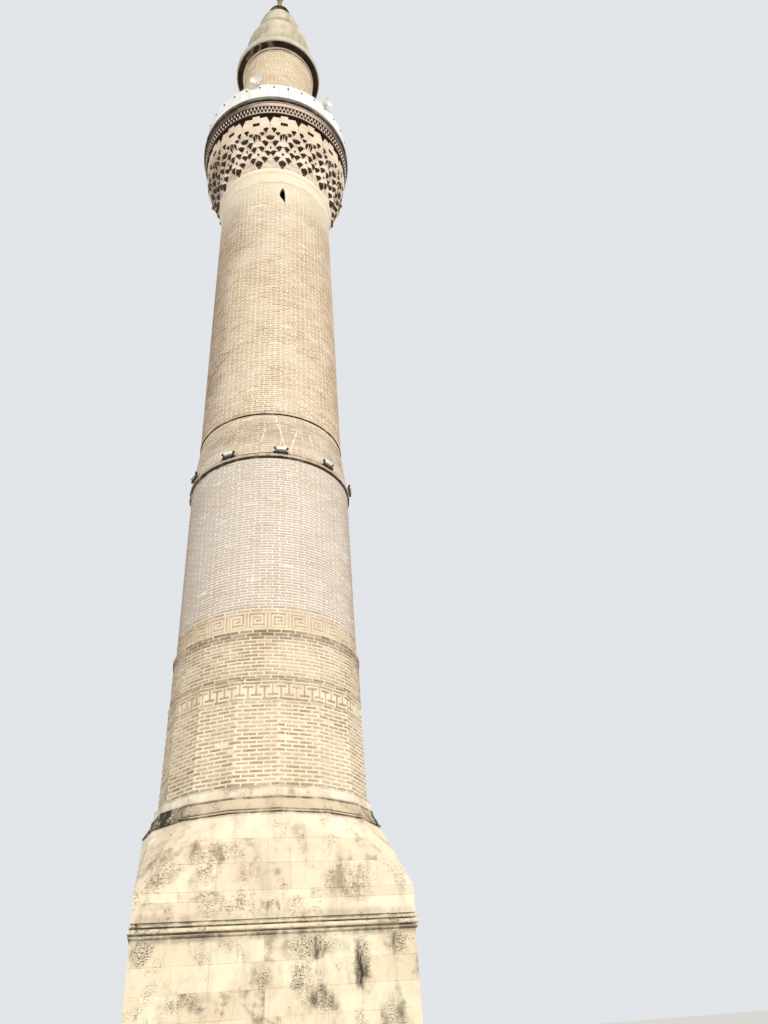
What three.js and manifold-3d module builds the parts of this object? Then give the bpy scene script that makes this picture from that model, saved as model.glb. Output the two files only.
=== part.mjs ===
// Brick minaret on a square stone base, with one balcony on brick stalactites and a bulbous stone cap.
// Millimetres, +Z up. The origin is on the ground, on the tower's axis; the front of the base faces -Y.

import * as THREE from "three";
import { ConvexGeometry } from "three/addons/geometries/ConvexGeometry.js";
import { mergeVertices } from "three/addons/utils/BufferGeometryUtils.js";
import Module from "manifold-3d";

const wasm = await Module();
wasm.setup();

// Driving dimensions: the square stone base
const baseHalf = 2200; // half the width of the wall faces
const mouldingHalf = 2262; // half the width over the moulding
const plinthHalf = 2190; // half the width of the square course above the moulding
const floorTop = 200;
const wallTop = 2870;
const mouldingTop = 3100;
const plinthTop = 3500;
const transitionTop = 4680;
const corniceTop = 5170;

// Driving dimensions: the brick tower, as outer radii at the ends of each stretch
const cutSides = 16; // sides of the cut stone cornice and of the lowest brick drum
const roundSides = 64; // facets that stand for a round wall
const polygonRadius = { low: 1998, high: 1962 };
const polygonTop = 6720;
const lowerFretTop = 7130;
const roundDrumRadius = { low: 1942, high: 1930 };
const roundDrumTop = 8120;
const fretRadius = 1893;
const upperFretTop = 8600;
const lowerShaftTop = 12355;
const lowerShaftRadius = { low: 1890, high: 1856 };
const lampLedge = { radius: 1912, top: 12430 };
const taperedBand = { low: 1872, high: 1722, top: 13700 };
const thinLedge = { radius: 1752, top: 13780 };
const upperShaftRadius = { low: 1738, high: 1647 };
const upperShaftTop = 22800;
const wellRadius = 1050; // round stair well inside the tower
const wellSides = 32;
const capSides = 48; // facets that stand for the round stone cap

// Driving dimensions: the balcony, the upper drum and the cap
const bays = 16; // stalactite bays, one of them centred on the front
const corbelTop = 25300;
const dentilTop = 25850;
const slabTop = 26100;
const slabRadius = 2392;
const parapetTop = 26900;
const parapetSides = 48; // marble panels round the balcony
const parapetRadius = { low: 2372, high: 2330 };
const parapetThickness = 105;
const drumRadius = 1242;
const drumWellRadius = 800;
const drumTop = 31130;
const drumMouldingTop = 31350;
const eavesTop = 31660;
const neckTop = 34400;
const capTop = 36300;
const collarTop = 36460;
const finialTop = 38760;

// Driving dimensions: openings
const doorWidth = 760;
const doorSpring = 1720;
const doorCrown = 1950;
const balconyDoor = { width: 640, spring: slabTop + 1500, crown: slabTop + 1720 };
const slit = { width: 172, bottom: 21850, top: 22500 };

// Driving dimensions: fittings
const lampCount = 10;
const speakerAngles = { right: 34.7, left: -23 }; // degrees from the front, towards +X

const joint = 0.3; // open joint between pieces cut from one ring
const overrun = 60; // how far a cutter runs past what it cuts
const farOut = 4000; // beyond any part of the tower

const limestone = new THREE.MeshStandardMaterial({ color: 0xcdbb98, roughness: 0.9, metalness: 0 });
const brick = new THREE.MeshStandardMaterial({ color: 0xd2b48f, roughness: 0.92, metalness: 0 });
const cutBrick = new THREE.MeshStandardMaterial({ color: 0xdcc39c, roughness: 0.9, metalness: 0 });
const darkStone = new THREE.MeshStandardMaterial({ color: 0x5d5750, roughness: 0.9, metalness: 0 });
const whiteMarble = new THREE.MeshStandardMaterial({ color: 0xebe9e0, roughness: 0.6, metalness: 0 });
const capStone = new THREE.MeshStandardMaterial({ color: 0xcbc3a0, roughness: 0.85, metalness: 0 });
const lampMetal = new THREE.MeshStandardMaterial({ color: 0x6e6c68, roughness: 0.6, metalness: 0.4 });
const finialMetal = new THREE.MeshStandardMaterial({ color: 0x9a8a6a, roughness: 0.5, metalness: 0.8 });
const hornPaint = new THREE.MeshStandardMaterial({ color: 0xe8e8e4, roughness: 0.5, metalness: 0 });

const tower = new THREE.Group();

// Solids and meshes

function solidOf(geometry) {
  const bare = geometry.index ? geometry.toNonIndexed() : geometry.clone();
  bare.deleteAttribute("normal");
  bare.deleteAttribute("uv");
  const merged = mergeVertices(bare, 1e-3);
  return new wasm.Manifold(
    new wasm.Mesh({
      numProp: 3,
      vertProperties: merged.attributes.position.array,
      triVerts: new Uint32Array(merged.index.array),
    }),
  );
}

function addPiece(name, solid, material) {
  const { vertProperties, triVerts } = solid.getMesh();
  const geometry = new THREE.BufferGeometry();
  geometry.setAttribute("position", new THREE.BufferAttribute(vertProperties, 3));
  geometry.setIndex(new THREE.BufferAttribute(triVerts, 1));
  geometry.computeVertexNormals();
  const mesh = new THREE.Mesh(geometry, material.clone());
  mesh.name = name;
  tower.add(mesh);
}

// A solid of revolution with flat sides; its first corner stands at startAngle from the front.
function turned(profile, sides, startAngle = 0) {
  const points = profile.map(([radius, z]) => new THREE.Vector2(radius, z));
  const geometry = new THREE.LatheGeometry(points, sides, THREE.MathUtils.degToRad(startAngle));
  return solidOf(geometry.rotateX(Math.PI / 2));
}

// A stack of [radius, z] rings, from the bottom up, closed to the axis at both ends
function stack(rings, sides, startAngle) {
  const bottom = rings[0][1];
  const top = rings[rings.length - 1][1];
  return turned([[0, bottom], ...rings, [0, top]], sides, startAngle);
}

function box(low, high) {
  const size = high.map((value, axis) => value - low[axis]);
  const geometry = new THREE.BoxGeometry(...size);
  return solidOf(geometry.translate(...low.map((value, axis) => value + size[axis] / 2)));
}

function extruded(outline, depth) {
  return new THREE.ExtrudeGeometry(outline, { depth, bevelEnabled: false, curveSegments: 12 });
}

function well(radius, bottom, top) {
  return stack([[radius, bottom - overrun], [radius, top + overrun]], wellSides);
}

function hollow(solid, radius, bottom, top) {
  return solid.subtract(well(radius, bottom, top));
}

// The quarter of the tower that faces one way: 0 front, 1 right, 2 rear, 3 left
function quarter(turn) {
  const outline = new THREE.Shape([
    new THREE.Vector2(0, -joint),
    new THREE.Vector2(-farOut, -farOut - joint),
    new THREE.Vector2(farOut, -farOut - joint),
  ]);
  const geometry = extruded(outline, finialTop);
  return solidOf(geometry.rotateZ((turn * Math.PI) / 2));
}

const sideNames = ["front", "right", "rear", "left"];
const quarters = sideNames.map((side, turn) => quarter(turn));

function addQuarters(prefix, solid, material) {
  sideNames.forEach((side, turn) => {
    addPiece(`${prefix}_${side}`, solid.intersect(quarters[turn]), material);
  });
}

function towardsFront(angle) {
  const radians = THREE.MathUtils.degToRad(angle);
  return new THREE.Vector3(Math.sin(radians), -Math.cos(radians), 0);
}

// A doorway in the rear wall: two jambs and the arch block over the opening
function addRearWithDoor(names, ring, door, bottom, top, material) {
  const rear = ring.intersect(quarters[2]);
  const half = door.width / 2;
  const leftOfDoor = box([-farOut, 0, bottom], [-half, farOut, top]);
  const rightOfDoor = box([half, 0, bottom], [farOut, farOut, top]);
  const rise = door.crown - door.spring;
  const archRadius = (half * half + rise * rise) / (2 * rise);
  const archAngle = Math.asin(half / archRadius);
  const outline = new THREE.Shape();
  outline.moveTo(half, door.spring);
  outline.lineTo(half, top);
  outline.lineTo(-half, top);
  outline.lineTo(-half, door.spring);
  const archCentre = door.crown - archRadius;
  outline.absarc(0, archCentre, archRadius, Math.PI / 2 + archAngle, Math.PI / 2 - archAngle, true);
  const archBlock = solidOf(extruded(outline, farOut).rotateX(Math.PI / 2).translate(0, farOut, 0));
  addPiece(names.left, rear.intersect(leftOfDoor), material);
  addPiece(names.right, rear.intersect(rightOfDoor), material);
  addPiece(names.arch, rear.intersect(archBlock), material);
}

// Square stone base: floor with the door sill, four walls, moulding

const squareTurn = 45;
const square = (half, bottom, top) => stack(
  [[half * Math.SQRT2, bottom], [half * Math.SQRT2, top]], 4, squareTurn,
);

const sill = box([-doorWidth / 2 + joint, 0, 0], [doorWidth / 2 - joint, baseHalf, floorTop]);
const floorDisc = stack([[wellRadius - joint, 0], [wellRadius - joint, floorTop]], wellSides);
addPiece("ground_floor", floorDisc.add(sill), limestone);

const baseRing = hollow(square(baseHalf, 0, wallTop), wellRadius, 0, wallTop);
["front", "right", "left"].forEach((side) => {
  addPiece(`${side}_wall`, baseRing.intersect(quarters[sideNames.indexOf(side)]), limestone);
});
addRearWithDoor(
  { left: "rear_wall_left", right: "rear_wall_right", arch: "rear_door_arch" },
  baseRing,
  { width: doorWidth, spring: doorSpring, crown: doorCrown },
  0,
  wallTop,
  limestone,
);

const mouldingRings = [
  [baseHalf, wallTop],
  [baseHalf + 18, wallTop + 40],
  [baseHalf + 40, wallTop + 60],
  [baseHalf + 40, wallTop + 110],
  [mouldingHalf, wallTop + 135],
  [mouldingHalf, mouldingTop - 30],
  [plinthHalf + 20, mouldingTop],
].map(([half, z]) => [half * Math.SQRT2, z]);
const moulding = stack(mouldingRings, 4, squareTurn);
addPiece("base_moulding", hollow(moulding, wellRadius, wallTop, mouldingTop), limestone);

// Square course and the stone transition from the square to the sixteen-sided cornice

const cornerRadius = 2212;
const transitionPoints = [];
for (const z of [mouldingTop, plinthTop])
  for (const x of [-plinthHalf, plinthHalf])
    for (const y of [-plinthHalf, plinthHalf]) transitionPoints.push(new THREE.Vector3(x, y, z));
for (let corner = 0; corner < cutSides; corner += 1) {
  const point = towardsFront((360 / cutSides) * corner).multiplyScalar(cornerRadius);
  transitionPoints.push(point.setZ(transitionTop));
}
const transition = solidOf(new ConvexGeometry(transitionPoints));
addQuarters("transition", hollow(transition, wellRadius, mouldingTop, transitionTop), limestone);

// Sixteen-sided stone cornice: lip, hollow slope and plain white band

const cornice = stack([
  [cornerRadius, transitionTop],
  [cornerRadius + 24, transitionTop + 16],
  [cornerRadius + 24, transitionTop + 55],
  [cornerRadius - 20, transitionTop + 80],
  [cornerRadius - 60, transitionTop + 125],
  [cornerRadius - 110, transitionTop + 190],
  [cornerRadius - 150, transitionTop + 275],
  [cornerRadius - 160, transitionTop + 285],
  [cornerRadius - 168, corniceTop],
], cutSides);
addPiece("stone_cornice", hollow(cornice, wellRadius, transitionTop, corniceTop), limestone);

// Brick tower, from the cornice to the balcony

function addTowerRing(name, rings, sides) {
  const bottom = rings[0][1];
  const top = rings[rings.length - 1][1];
  addPiece(name, hollow(stack(rings, sides), wellRadius, bottom, top), brick);
}

const fretStep = 12; // how far a fret band's border courses stand out
addTowerRing("polygonal_drum", [
  [polygonRadius.low, corniceTop],
  [polygonRadius.high, polygonTop],
], cutSides);
addTowerRing("lower_fret_band", [
  [polygonRadius.high, polygonTop],
  [polygonRadius.high - 4, lowerFretTop - 70],
  [polygonRadius.high - 4 + fretStep, lowerFretTop - 65],
  [polygonRadius.high - 4 + fretStep, lowerFretTop],
], cutSides);
addTowerRing("round_drum", [
  [roundDrumRadius.low, lowerFretTop],
  [roundDrumRadius.high, roundDrumTop - 150],
  [roundDrumRadius.high + 16, roundDrumTop - 65],
  [roundDrumRadius.high + 16, roundDrumTop],
], roundSides);
addTowerRing("upper_fret_band", [
  [fretRadius + fretStep, roundDrumTop],
  [fretRadius + fretStep, roundDrumTop + 55],
  [fretRadius, roundDrumTop + 60],
  [fretRadius - 2, upperFretTop],
], roundSides);

const lowerShaft = stack(
  [[lowerShaftRadius.low, upperFretTop], [lowerShaftRadius.high, lowerShaftTop]], roundSides,
);
addQuarters("lower_shaft", hollow(lowerShaft, wellRadius, upperFretTop, lowerShaftTop), brick);

addTowerRing("lamp_ledge", [
  [lampLedge.radius, lowerShaftTop],
  [lampLedge.radius, lampLedge.top],
], roundSides);
addTowerRing("tapered_band", [
  [taperedBand.low, lampLedge.top],
  [taperedBand.high, taperedBand.top],
], roundSides);
addTowerRing("thin_ledge", [
  [thinLedge.radius, taperedBand.top],
  [thinLedge.radius, thinLedge.top],
], roundSides);

const slitCutter = box([-slit.width / 2, -farOut, slit.bottom], [slit.width / 2, 0, slit.top]);
const upperShaft = stack(
  [[upperShaftRadius.low, thinLedge.top], [upperShaftRadius.high, upperShaftTop]], roundSides,
);
addQuarters(
  "upper_shaft",
  hollow(upperShaft, wellRadius, thinLedge.top, upperShaftTop).subtract(slitCutter),
  brick,
);

// Stalactite corbels: tiers whose corners stand out over the bays and between them in turn,
// under sixteen flat stepped panels with a gap between neighbours

function tier(outRadius, inRadius, outFirst, bottom, top) {
  const outline = new THREE.Shape();
  const corners = bays * 2;
  for (let corner = 0; corner < corners; corner += 1) {
    const isOut = (corner % 2 === 0) === outFirst;
    const point = towardsFront((360 / corners) * corner).multiplyScalar(isOut ? outRadius : inRadius);
    if (corner === 0) outline.moveTo(point.x, point.y);
    else outline.lineTo(point.x, point.y);
  }
  outline.closePath();
  return solidOf(extruded(outline, top - bottom).translate(0, 0, bottom));
}

function panelTier(radius, gapRadius, halfAngle, bottom, top) {
  const outline = new THREE.Shape();
  const bay = 360 / bays;
  const gapAngle = (bay / 2 + halfAngle) / 2;
  for (let panel = 0; panel < bays; panel += 1) {
    [[-gapAngle, gapRadius], [-halfAngle, radius], [halfAngle, radius], [gapAngle, gapRadius]]
      .forEach(([angle, distance], index) => {
        const point = towardsFront(panel * bay + angle).multiplyScalar(distance);
        if (panel + index === 0) outline.moveTo(point.x, point.y);
        else outline.lineTo(point.x, point.y);
      });
  }
  outline.closePath();
  return solidOf(extruded(outline, top - bottom).translate(0, 0, bottom));
}

const tierHeights = [22940, 23340, 23740, 24150, 24560];
const tierRadii = [1740, 1850, 1930, 2070];
const tierDepth = 62; // how far a tier's corners stand out beyond its hollows
const corbelCoreTop = 2120;
const corbelCore = stack([[upperShaftRadius.high, upperShaftTop], [corbelCoreTop, corbelTop]], roundSides);
const corbels = tierRadii.reduce((body, radius, index) => {
  const outFirst = index % 2 === 0;
  return body.add(tier(radius, radius - tierDepth, outFirst, tierHeights[index], tierHeights[index + 1]));
}, corbelCore)
  .add(panelTier(2230, corbelCoreTop, 8.9, 24560, 24960))
  .add(panelTier(2262, 2150, 6.6, 24960, 25080))
  .add(panelTier(2275, 2170, 3.4, 25080, 25190));
addPiece("stalactite_corbels", hollow(corbels, wellRadius, upperShaftTop, corbelTop), cutBrick);

addTowerRing("dentil_band", [
  [2290, corbelTop],
  [2300, corbelTop + 60],
  [2318, corbelTop + 70],
  [2325, dentilTop - 160],
  [2355, dentilTop - 150],
  [2362, dentilTop],
], roundSides);

// Balcony: stone slab and marble parapet

const slab = stack([
  [slabRadius - 22, dentilTop],
  [slabRadius - 4, dentilTop + 40],
  [slabRadius, slabTop],
], roundSides);
addPiece("balcony_slab", hollow(slab, drumWellRadius, dentilTop, slabTop), darkStone);

const parapetOuter = stack([[parapetRadius.low, slabTop], [parapetRadius.high, parapetTop]], parapetSides);
const parapetInner = stack([
  [parapetRadius.low - parapetThickness, slabTop - overrun],
  [parapetRadius.low - parapetThickness, slabTop],
  [parapetRadius.high - parapetThickness, parapetTop],
  [parapetRadius.high - parapetThickness, parapetTop + overrun],
], parapetSides);
addQuarters("parapet", parapetOuter.subtract(parapetInner), whiteMarble);

// Upper drum with the balcony doorway in the rear

const solidDrum = stack([[drumRadius, slabTop], [drumRadius, drumTop]], roundSides);
const drumRing = hollow(solidDrum, drumWellRadius, slabTop, drumTop);
["front", "right", "left"].forEach((side) => {
  addPiece(`upper_drum_${side}`, drumRing.intersect(quarters[sideNames.indexOf(side)]), brick);
});
addRearWithDoor(
  { left: "upper_drum_rear_left", right: "upper_drum_rear_right", arch: "upper_drum_door_arch" },
  drumRing,
  balconyDoor,
  slabTop,
  drumTop,
  brick,
);

const drumMoulding = stack([
  [drumRadius + 14, drumTop],
  [drumRadius + 14, drumTop + 50],
  [drumRadius + 4, drumTop + 65],
  [drumRadius + 4, drumTop + 90],
  [drumRadius + 50, drumTop + 115],
  [drumRadius + 56, drumTop + 160],
  [drumRadius + 40, drumMouldingTop],
], capSides);
addPiece("drum_moulding", hollow(drumMoulding, drumWellRadius, drumTop, drumMouldingTop), capStone);

// Eaves ring and the stone cap in two bulbs

const eavesRadius = 1532;
const eaves = stack([
  [eavesRadius - 16, drumMouldingTop],
  [eavesRadius, drumMouldingTop + 16],
  [eavesRadius, eavesTop - 70],
  [eavesRadius - 30, eavesTop],
], capSides);
addPiece("eaves", hollow(eaves, drumWellRadius, drumMouldingTop, eavesTop), capStone);

const lowerBulb = turned([
  [0, 34000],
  [300, 33900],
  [700, 33300],
  [drumWellRadius, eavesTop],
  [1100, eavesTop],
  [1120, 31900],
  [1152, 32100],
  [1188, 32300],
  [1218, 32500],
  [1236, 32700],
  [1238, 32850],
  [1226, 33020],
  [1204, 33200],
  [1168, 33480],
  [1115, 33680],
  [1030, 33900],
  [935, 34100],
  [850, 34270],
  [785, neckTop],
  [0, neckTop],
], capSides);
addPiece("cap_lower_bulb", lowerBulb, capStone);

const upperBulb = stack([
  [785, neckTop],
  [808, 34600],
  [802, 34850],
  [770, 35180],
  [678, 35500],
  [515, 35850],
  [380, 36120],
  [300, capTop],
], capSides);
addPiece("cap_upper_bulb", upperBulb, capStone);

const collarRadius = 432;
const collar = stack([
  [260, capTop],
  [collarRadius - 14, capTop + 55],
  [collarRadius, capTop + 70],
  [collarRadius, capTop + 100],
  [collarRadius - 40, capTop + 122],
  [170, collarTop],
], wellSides);
addPiece("cap_collar", collar, capStone);

// Metal finial: stem with beads and knobs, and a crescent open to the sky

const finialSides = 16;
const stem = stack([
  [160, collarTop],
  [84, collarTop + 80],
  [50, collarTop + 260],
  [44, collarTop + 900],
  [86, collarTop + 1010],
  [46, collarTop + 1085],
  [46, collarTop + 1110],
  [76, collarTop + 1180],
  [46, collarTop + 1250],
  [118, collarTop + 1330],
  [150, collarTop + 1420],
  [118, collarTop + 1510],
  [40, collarTop + 1580],
  [38, collarTop + 1640],
  [80, collarTop + 1690],
  [80, collarTop + 1730],
  [30, collarTop + 1780],
  [22, collarTop + 1890],
], finialSides);
const crescentRadius = 240;
const crescentCentre = finialTop - 220;
const crescentThickness = 44;
const hornAngle = THREE.MathUtils.degToRad(62);
const innerRadius = 188;
const innerRise = crescentRadius * Math.sin(hornAngle)
  - Math.sqrt(innerRadius ** 2 - (crescentRadius * Math.cos(hornAngle)) ** 2);
const innerAngle = Math.atan2(
  crescentRadius * Math.sin(hornAngle) - innerRise, crescentRadius * Math.cos(hornAngle),
);
const crescentOutline = new THREE.Shape();
crescentOutline.absarc(0, 0, crescentRadius, hornAngle, Math.PI - hornAngle, true);
crescentOutline.absarc(0, innerRise, innerRadius, Math.PI - innerAngle, innerAngle, false);
const crescent = solidOf(
  extruded(crescentOutline, crescentThickness)
    .translate(0, 0, -crescentThickness / 2)
    .rotateX(Math.PI / 2)
    .translate(0, 0, crescentCentre),
);
addPiece("finial", stem.add(crescent), finialMetal);

// Floodlights that stand on the lower ledge, joined by the conduit that feeds them

const lampHead = { width: 280, reach: 100, height: 110 };
const conduitTube = 14;
const lampSeat = lampLedge.top + joint;
const conduitRadius = taperedBand.low + joint;
const conduitRings = [];
const conduitCorners = 4;
for (let corner = 0; corner <= conduitCorners; corner += 1) {
  const turn = (2 * Math.PI * corner) / conduitCorners;
  conduitRings.push([
    conduitRadius + conduitTube - conduitTube * Math.cos(turn),
    lampSeat + conduitTube - conduitTube * Math.sin(turn),
  ]);
}
const conduit = turned(conduitRings, roundSides);
const lampFoot = { width: 330, depth: 38, height: 24 };
const lampCheek = { width: 20, depth: 46, height: 96 };
const lampTilt = THREE.MathUtils.degToRad(-8);
const lampAt = (angle) => {
  const foot = new THREE.BoxGeometry(lampFoot.width, lampFoot.depth, lampFoot.height)
    .translate(0, -conduitRadius - lampFoot.depth / 2, lampSeat + lampFoot.height / 2);
  const cheeks = [-1, 1].map((side) => (
    new THREE.BoxGeometry(lampCheek.width, lampCheek.depth, lampCheek.height)
      .translate((side * (lampHead.width + 16)) / 2, -conduitRadius - 50, lampSeat + lampCheek.height / 2)
  ));
  const head = new THREE.BoxGeometry(lampHead.width, lampHead.reach, lampHead.height)
    .rotateX(lampTilt)
    .translate(0, -conduitRadius - 62, lampSeat + 90);
  const radians = THREE.MathUtils.degToRad(angle);
  return [foot, ...cheeks, head].map((geometry) => solidOf(geometry.rotateZ(radians)));
};
let lamps = conduit;
for (let lamp = 0; lamp < lampCount; lamp += 1)
  for (const part of lampAt((360 / lampCount) * lamp)) lamps = lamps.add(part);
addPiece("floodlights", lamps, lampMetal);

// Horn loudspeakers on posts that stand on the parapet

function addSpeaker(name, angle) {
  const mouthRadius = 190;
  const hornLength = 300;
  const hornSides = 16;
  const horn = new THREE.LatheGeometry([
    [0, 0],
    [62, 0],
    [62, 110],
    [80, 150],
    [120, 220],
    [mouthRadius, hornLength],
    [mouthRadius, hornLength + 14],
    [mouthRadius - 14, hornLength + 14],
    [mouthRadius - 22, hornLength],
    [70, 190],
    [0, 170],
  ].map(([radius, along]) => new THREE.Vector2(radius, along)), hornSides);
  const postRadius = parapetRadius.high - parapetThickness / 2;
  const parts = [
    horn.rotateX(Math.PI).translate(0, hornLength / 2 - postRadius - 40, parapetTop + 100),
    new THREE.BoxGeometry(30, 30, 80).translate(0, -postRadius, parapetTop + 40 + joint),
    new THREE.BoxGeometry(90, 60, 12).translate(0, -postRadius, parapetTop + 6 + joint),
  ].map((geometry) => solidOf(geometry.rotateZ(THREE.MathUtils.degToRad(angle))));
  addPiece(name, parts[0].add(parts[1]).add(parts[2]), hornPaint);
}

addSpeaker("loudspeaker_right", speakerAngles.right);
addSpeaker("loudspeaker_left", speakerAngles.left);

export default tower;
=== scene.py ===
import math
import random

import bmesh
import bpy
from mathutils import Matrix, Vector


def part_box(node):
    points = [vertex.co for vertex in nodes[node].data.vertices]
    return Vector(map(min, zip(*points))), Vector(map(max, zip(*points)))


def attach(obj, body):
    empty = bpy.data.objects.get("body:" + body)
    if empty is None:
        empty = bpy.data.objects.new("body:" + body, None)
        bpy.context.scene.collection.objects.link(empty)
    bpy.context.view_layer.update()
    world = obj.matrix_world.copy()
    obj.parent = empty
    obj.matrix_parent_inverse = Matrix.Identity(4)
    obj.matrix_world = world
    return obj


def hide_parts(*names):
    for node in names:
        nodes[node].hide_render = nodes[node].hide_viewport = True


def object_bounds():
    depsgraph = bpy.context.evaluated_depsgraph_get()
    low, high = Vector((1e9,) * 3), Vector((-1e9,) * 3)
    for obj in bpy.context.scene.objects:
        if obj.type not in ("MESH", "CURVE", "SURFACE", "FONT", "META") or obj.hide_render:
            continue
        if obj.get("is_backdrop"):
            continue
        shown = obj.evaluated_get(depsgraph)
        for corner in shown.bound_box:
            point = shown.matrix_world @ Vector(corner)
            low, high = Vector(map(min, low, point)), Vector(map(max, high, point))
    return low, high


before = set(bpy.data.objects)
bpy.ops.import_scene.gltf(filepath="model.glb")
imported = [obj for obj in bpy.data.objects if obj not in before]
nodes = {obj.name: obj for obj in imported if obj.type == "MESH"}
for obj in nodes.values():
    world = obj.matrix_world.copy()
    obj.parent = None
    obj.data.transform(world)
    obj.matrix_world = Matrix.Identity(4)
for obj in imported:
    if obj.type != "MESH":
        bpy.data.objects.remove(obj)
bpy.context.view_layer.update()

draw = random.Random(1421)
scene = bpy.context.scene

# The light, the floor and the place from which the tower is seen.
# The viewer stands close to the tower's foot, a little left of its front, and looks up.
viewing_distance = 16.0
eye_height = 1.6
turn_from_front = math.radians(6.31)
heading = math.radians(16.13)
pitch = math.radians(33.04)
roll = math.radians(-4.35)
key_azimuth = math.radians(11.0)
key_elevation = math.radians(33.0)


def moved(x, y, z):
    return Matrix.Translation((x, y, z))


def turned(angle, axis="Z"):
    return Matrix.Rotation(angle, 4, axis)


def put(name, data, where=Matrix()):
    thing = bpy.data.objects.new(name, data)
    thing.matrix_world = where
    scene.collection.objects.link(thing)
    return thing


camera_data = bpy.data.cameras.new("view")
camera_data.lens = 27.63
camera_data.sensor_fit = "VERTICAL"
camera_data.sensor_height = 36.0
camera_data.clip_end = 400.0
eye = moved(
    -viewing_distance * math.sin(turn_from_front), -viewing_distance * math.cos(turn_from_front), eye_height,
)
view = eye @ turned(-heading) @ turned(math.pi / 2 + pitch, "X") @ turned(roll)
scene.camera = put("view", camera_data, view)

floor_mesh = bpy.data.meshes.new("pale_floor")
floor_bm = bmesh.new()
bmesh.ops.create_grid(floor_bm, x_segments=1, y_segments=1, size=90.0)
floor_bm.to_mesh(floor_mesh)
floor_bm.free()
floor_paint = bpy.data.materials.new("pale_floor")
floor_paint.use_nodes = True
floor_shader = floor_paint.node_tree.nodes["Principled BSDF"]
floor_shader.inputs["Base Color"].default_value = (0.6, 0.58, 0.55, 1.0)
floor_shader.inputs["Roughness"].default_value = 0.9
floor_mesh.materials.append(floor_paint)
put("pale_floor", floor_mesh)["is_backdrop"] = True

world = bpy.data.worlds.new("studio")
world.use_nodes = True
sky = world.node_tree.nodes["Background"]
sky.inputs["Color"].default_value = (0.77, 0.79, 0.82, 1.0)
sky.inputs["Strength"].default_value = 0.99
scene.world = world
key = bpy.data.lights.new("key", "SUN")
key.energy = 2.22
key.angle = math.radians(3.0)
key.color = (1.0, 0.95, 0.86)
put("key", key, turned(key_azimuth) @ turned(math.pi / 2 - key_elevation, "X"))
scene.view_settings.view_transform = "Standard"


# Base walls: courses of squared limestone about 36 cm high with thin lime joints, on a rubble and lime core.
# The core is the frame's own walls; the facing stones stand 8 mm proud of it and wrap round the corners.
class Paint:
    """A node material in the making, with the colour that its coats have given it so far."""

    def __init__(self, name, roughness, colour, metallic=0.0):
        self.material = bpy.data.materials.new(name)
        self.material.use_nodes = True
        self.shader = self.material.node_tree.nodes["Principled BSDF"]
        self.shader.inputs["Roughness"].default_value = roughness
        self.shader.inputs["Metallic"].default_value = metallic
        self.shader.inputs["Specular IOR Level"].default_value = 0.2
        self.place = self.add("TexCoord").outputs["Object"]
        self.colour = colour

    def feed(self, node, inputs):
        """Links the inputs that are outputs of other nodes, and sets the others as constants."""
        for name, value in inputs.items():
            socket = node.inputs[name]
            if isinstance(value, bpy.types.NodeSocket):
                self.material.node_tree.links.new(value, socket)
            else:
                socket.default_value = (*value, 1.0) if socket.type == "RGBA" else value

    def add(self, kind, inputs=None, **settings):
        node = self.material.node_tree.nodes.new("ShaderNode" + kind)
        for name, value in settings.items():
            setattr(node, name, value)
        self.feed(node, inputs or {})
        return node

    def tone(self):
        return self.add("Attribute", attribute_name="tone").outputs["Fac"]

    def noise(self, size, detail=6.0, rough=0.6, upright=1.0):
        scale = (1.0 / size, 1.0 / size, upright / size)
        where = self.add("Mapping", {"Vector": self.place, "Scale": scale}).outputs["Vector"]
        node = self.add("TexNoise", {"Vector": where, "Scale": 1.0, "Detail": detail, "Roughness": rough})
        return node.outputs["Fac"]

    def ramp(self, value, low, high, bottom=0.0, top=1.0):
        span = {"Value": value, "From Min": low, "From Max": high, "To Min": bottom, "To Max": top}
        return self.add("MapRange", span, clamp=True).outputs["Result"]

    def reckon(self, how, first, second):
        return self.add("Math", {0: first, 1: second}, operation=how).outputs[0]

    def times(self, first, second):
        return self.reckon("MULTIPLY", first, second)

    def most(self, first, second):
        return self.reckon("MAXIMUM", first, second)

    def level(self, low, high, edge):
        """1 between two heights, fading over edge outside them."""
        z = self.add("SeparateXYZ", {"Vector": self.place}).outputs["Z"]
        return self.reckon("MINIMUM", self.ramp(z, low - edge, low), self.ramp(z, high + edge, high))

    def spots(self, places):
        """Ragged patches on the front, as (x, z, half width, half height, strength)."""
        ragged = self.add("TexNoise", {"Vector": self.place, "Scale": 5.0, "Detail": 5.0}).outputs["Color"]
        shift = self.add("VectorMath", {0: ragged, 1: (0.5, 0.5, 0.5)}, operation="SUBTRACT").outputs[0]
        shift = self.add("VectorMath", {0: shift, "Scale": 0.45}, operation="SCALE").outputs[0]
        shifted = self.add("VectorMath", {0: self.place, 1: shift}, operation="ADD").outputs[0]
        result = 0.0
        for x, z, half_width, half_height, strength in places:
            local = self.add("Mapping", {
                "Vector": shifted, "Scale": (1.0 / half_width, 0.0, 1.0 / half_height),
                "Location": (-x / half_width, 0.0, -z / half_height),
            }).outputs["Vector"]
            distance = self.add("VectorMath", {0: local}, operation="LENGTH").outputs["Value"]
            result = self.most(result, self.ramp(distance, 1.15, 0.5, 0.0, strength))
        return result

    def coat(self, share, colour):
        self.colour = self.add("Mix", {0: share, 6: self.colour, 7: colour}, data_type="RGBA").outputs[2]

    def finish(self, *bumps):
        """Colours the surface and roughens it by a stack of (height, depth in metres, strength) bumps."""
        below = {}
        for relief, distance, strength in bumps:
            bump = self.add("Bump", {"Height": relief, "Distance": distance, "Strength": strength, **below})
            below = {"Normal": bump.outputs["Normal"]}
        self.feed(self.shader, {"Base Color": self.colour, **below})
        return self.material


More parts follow.
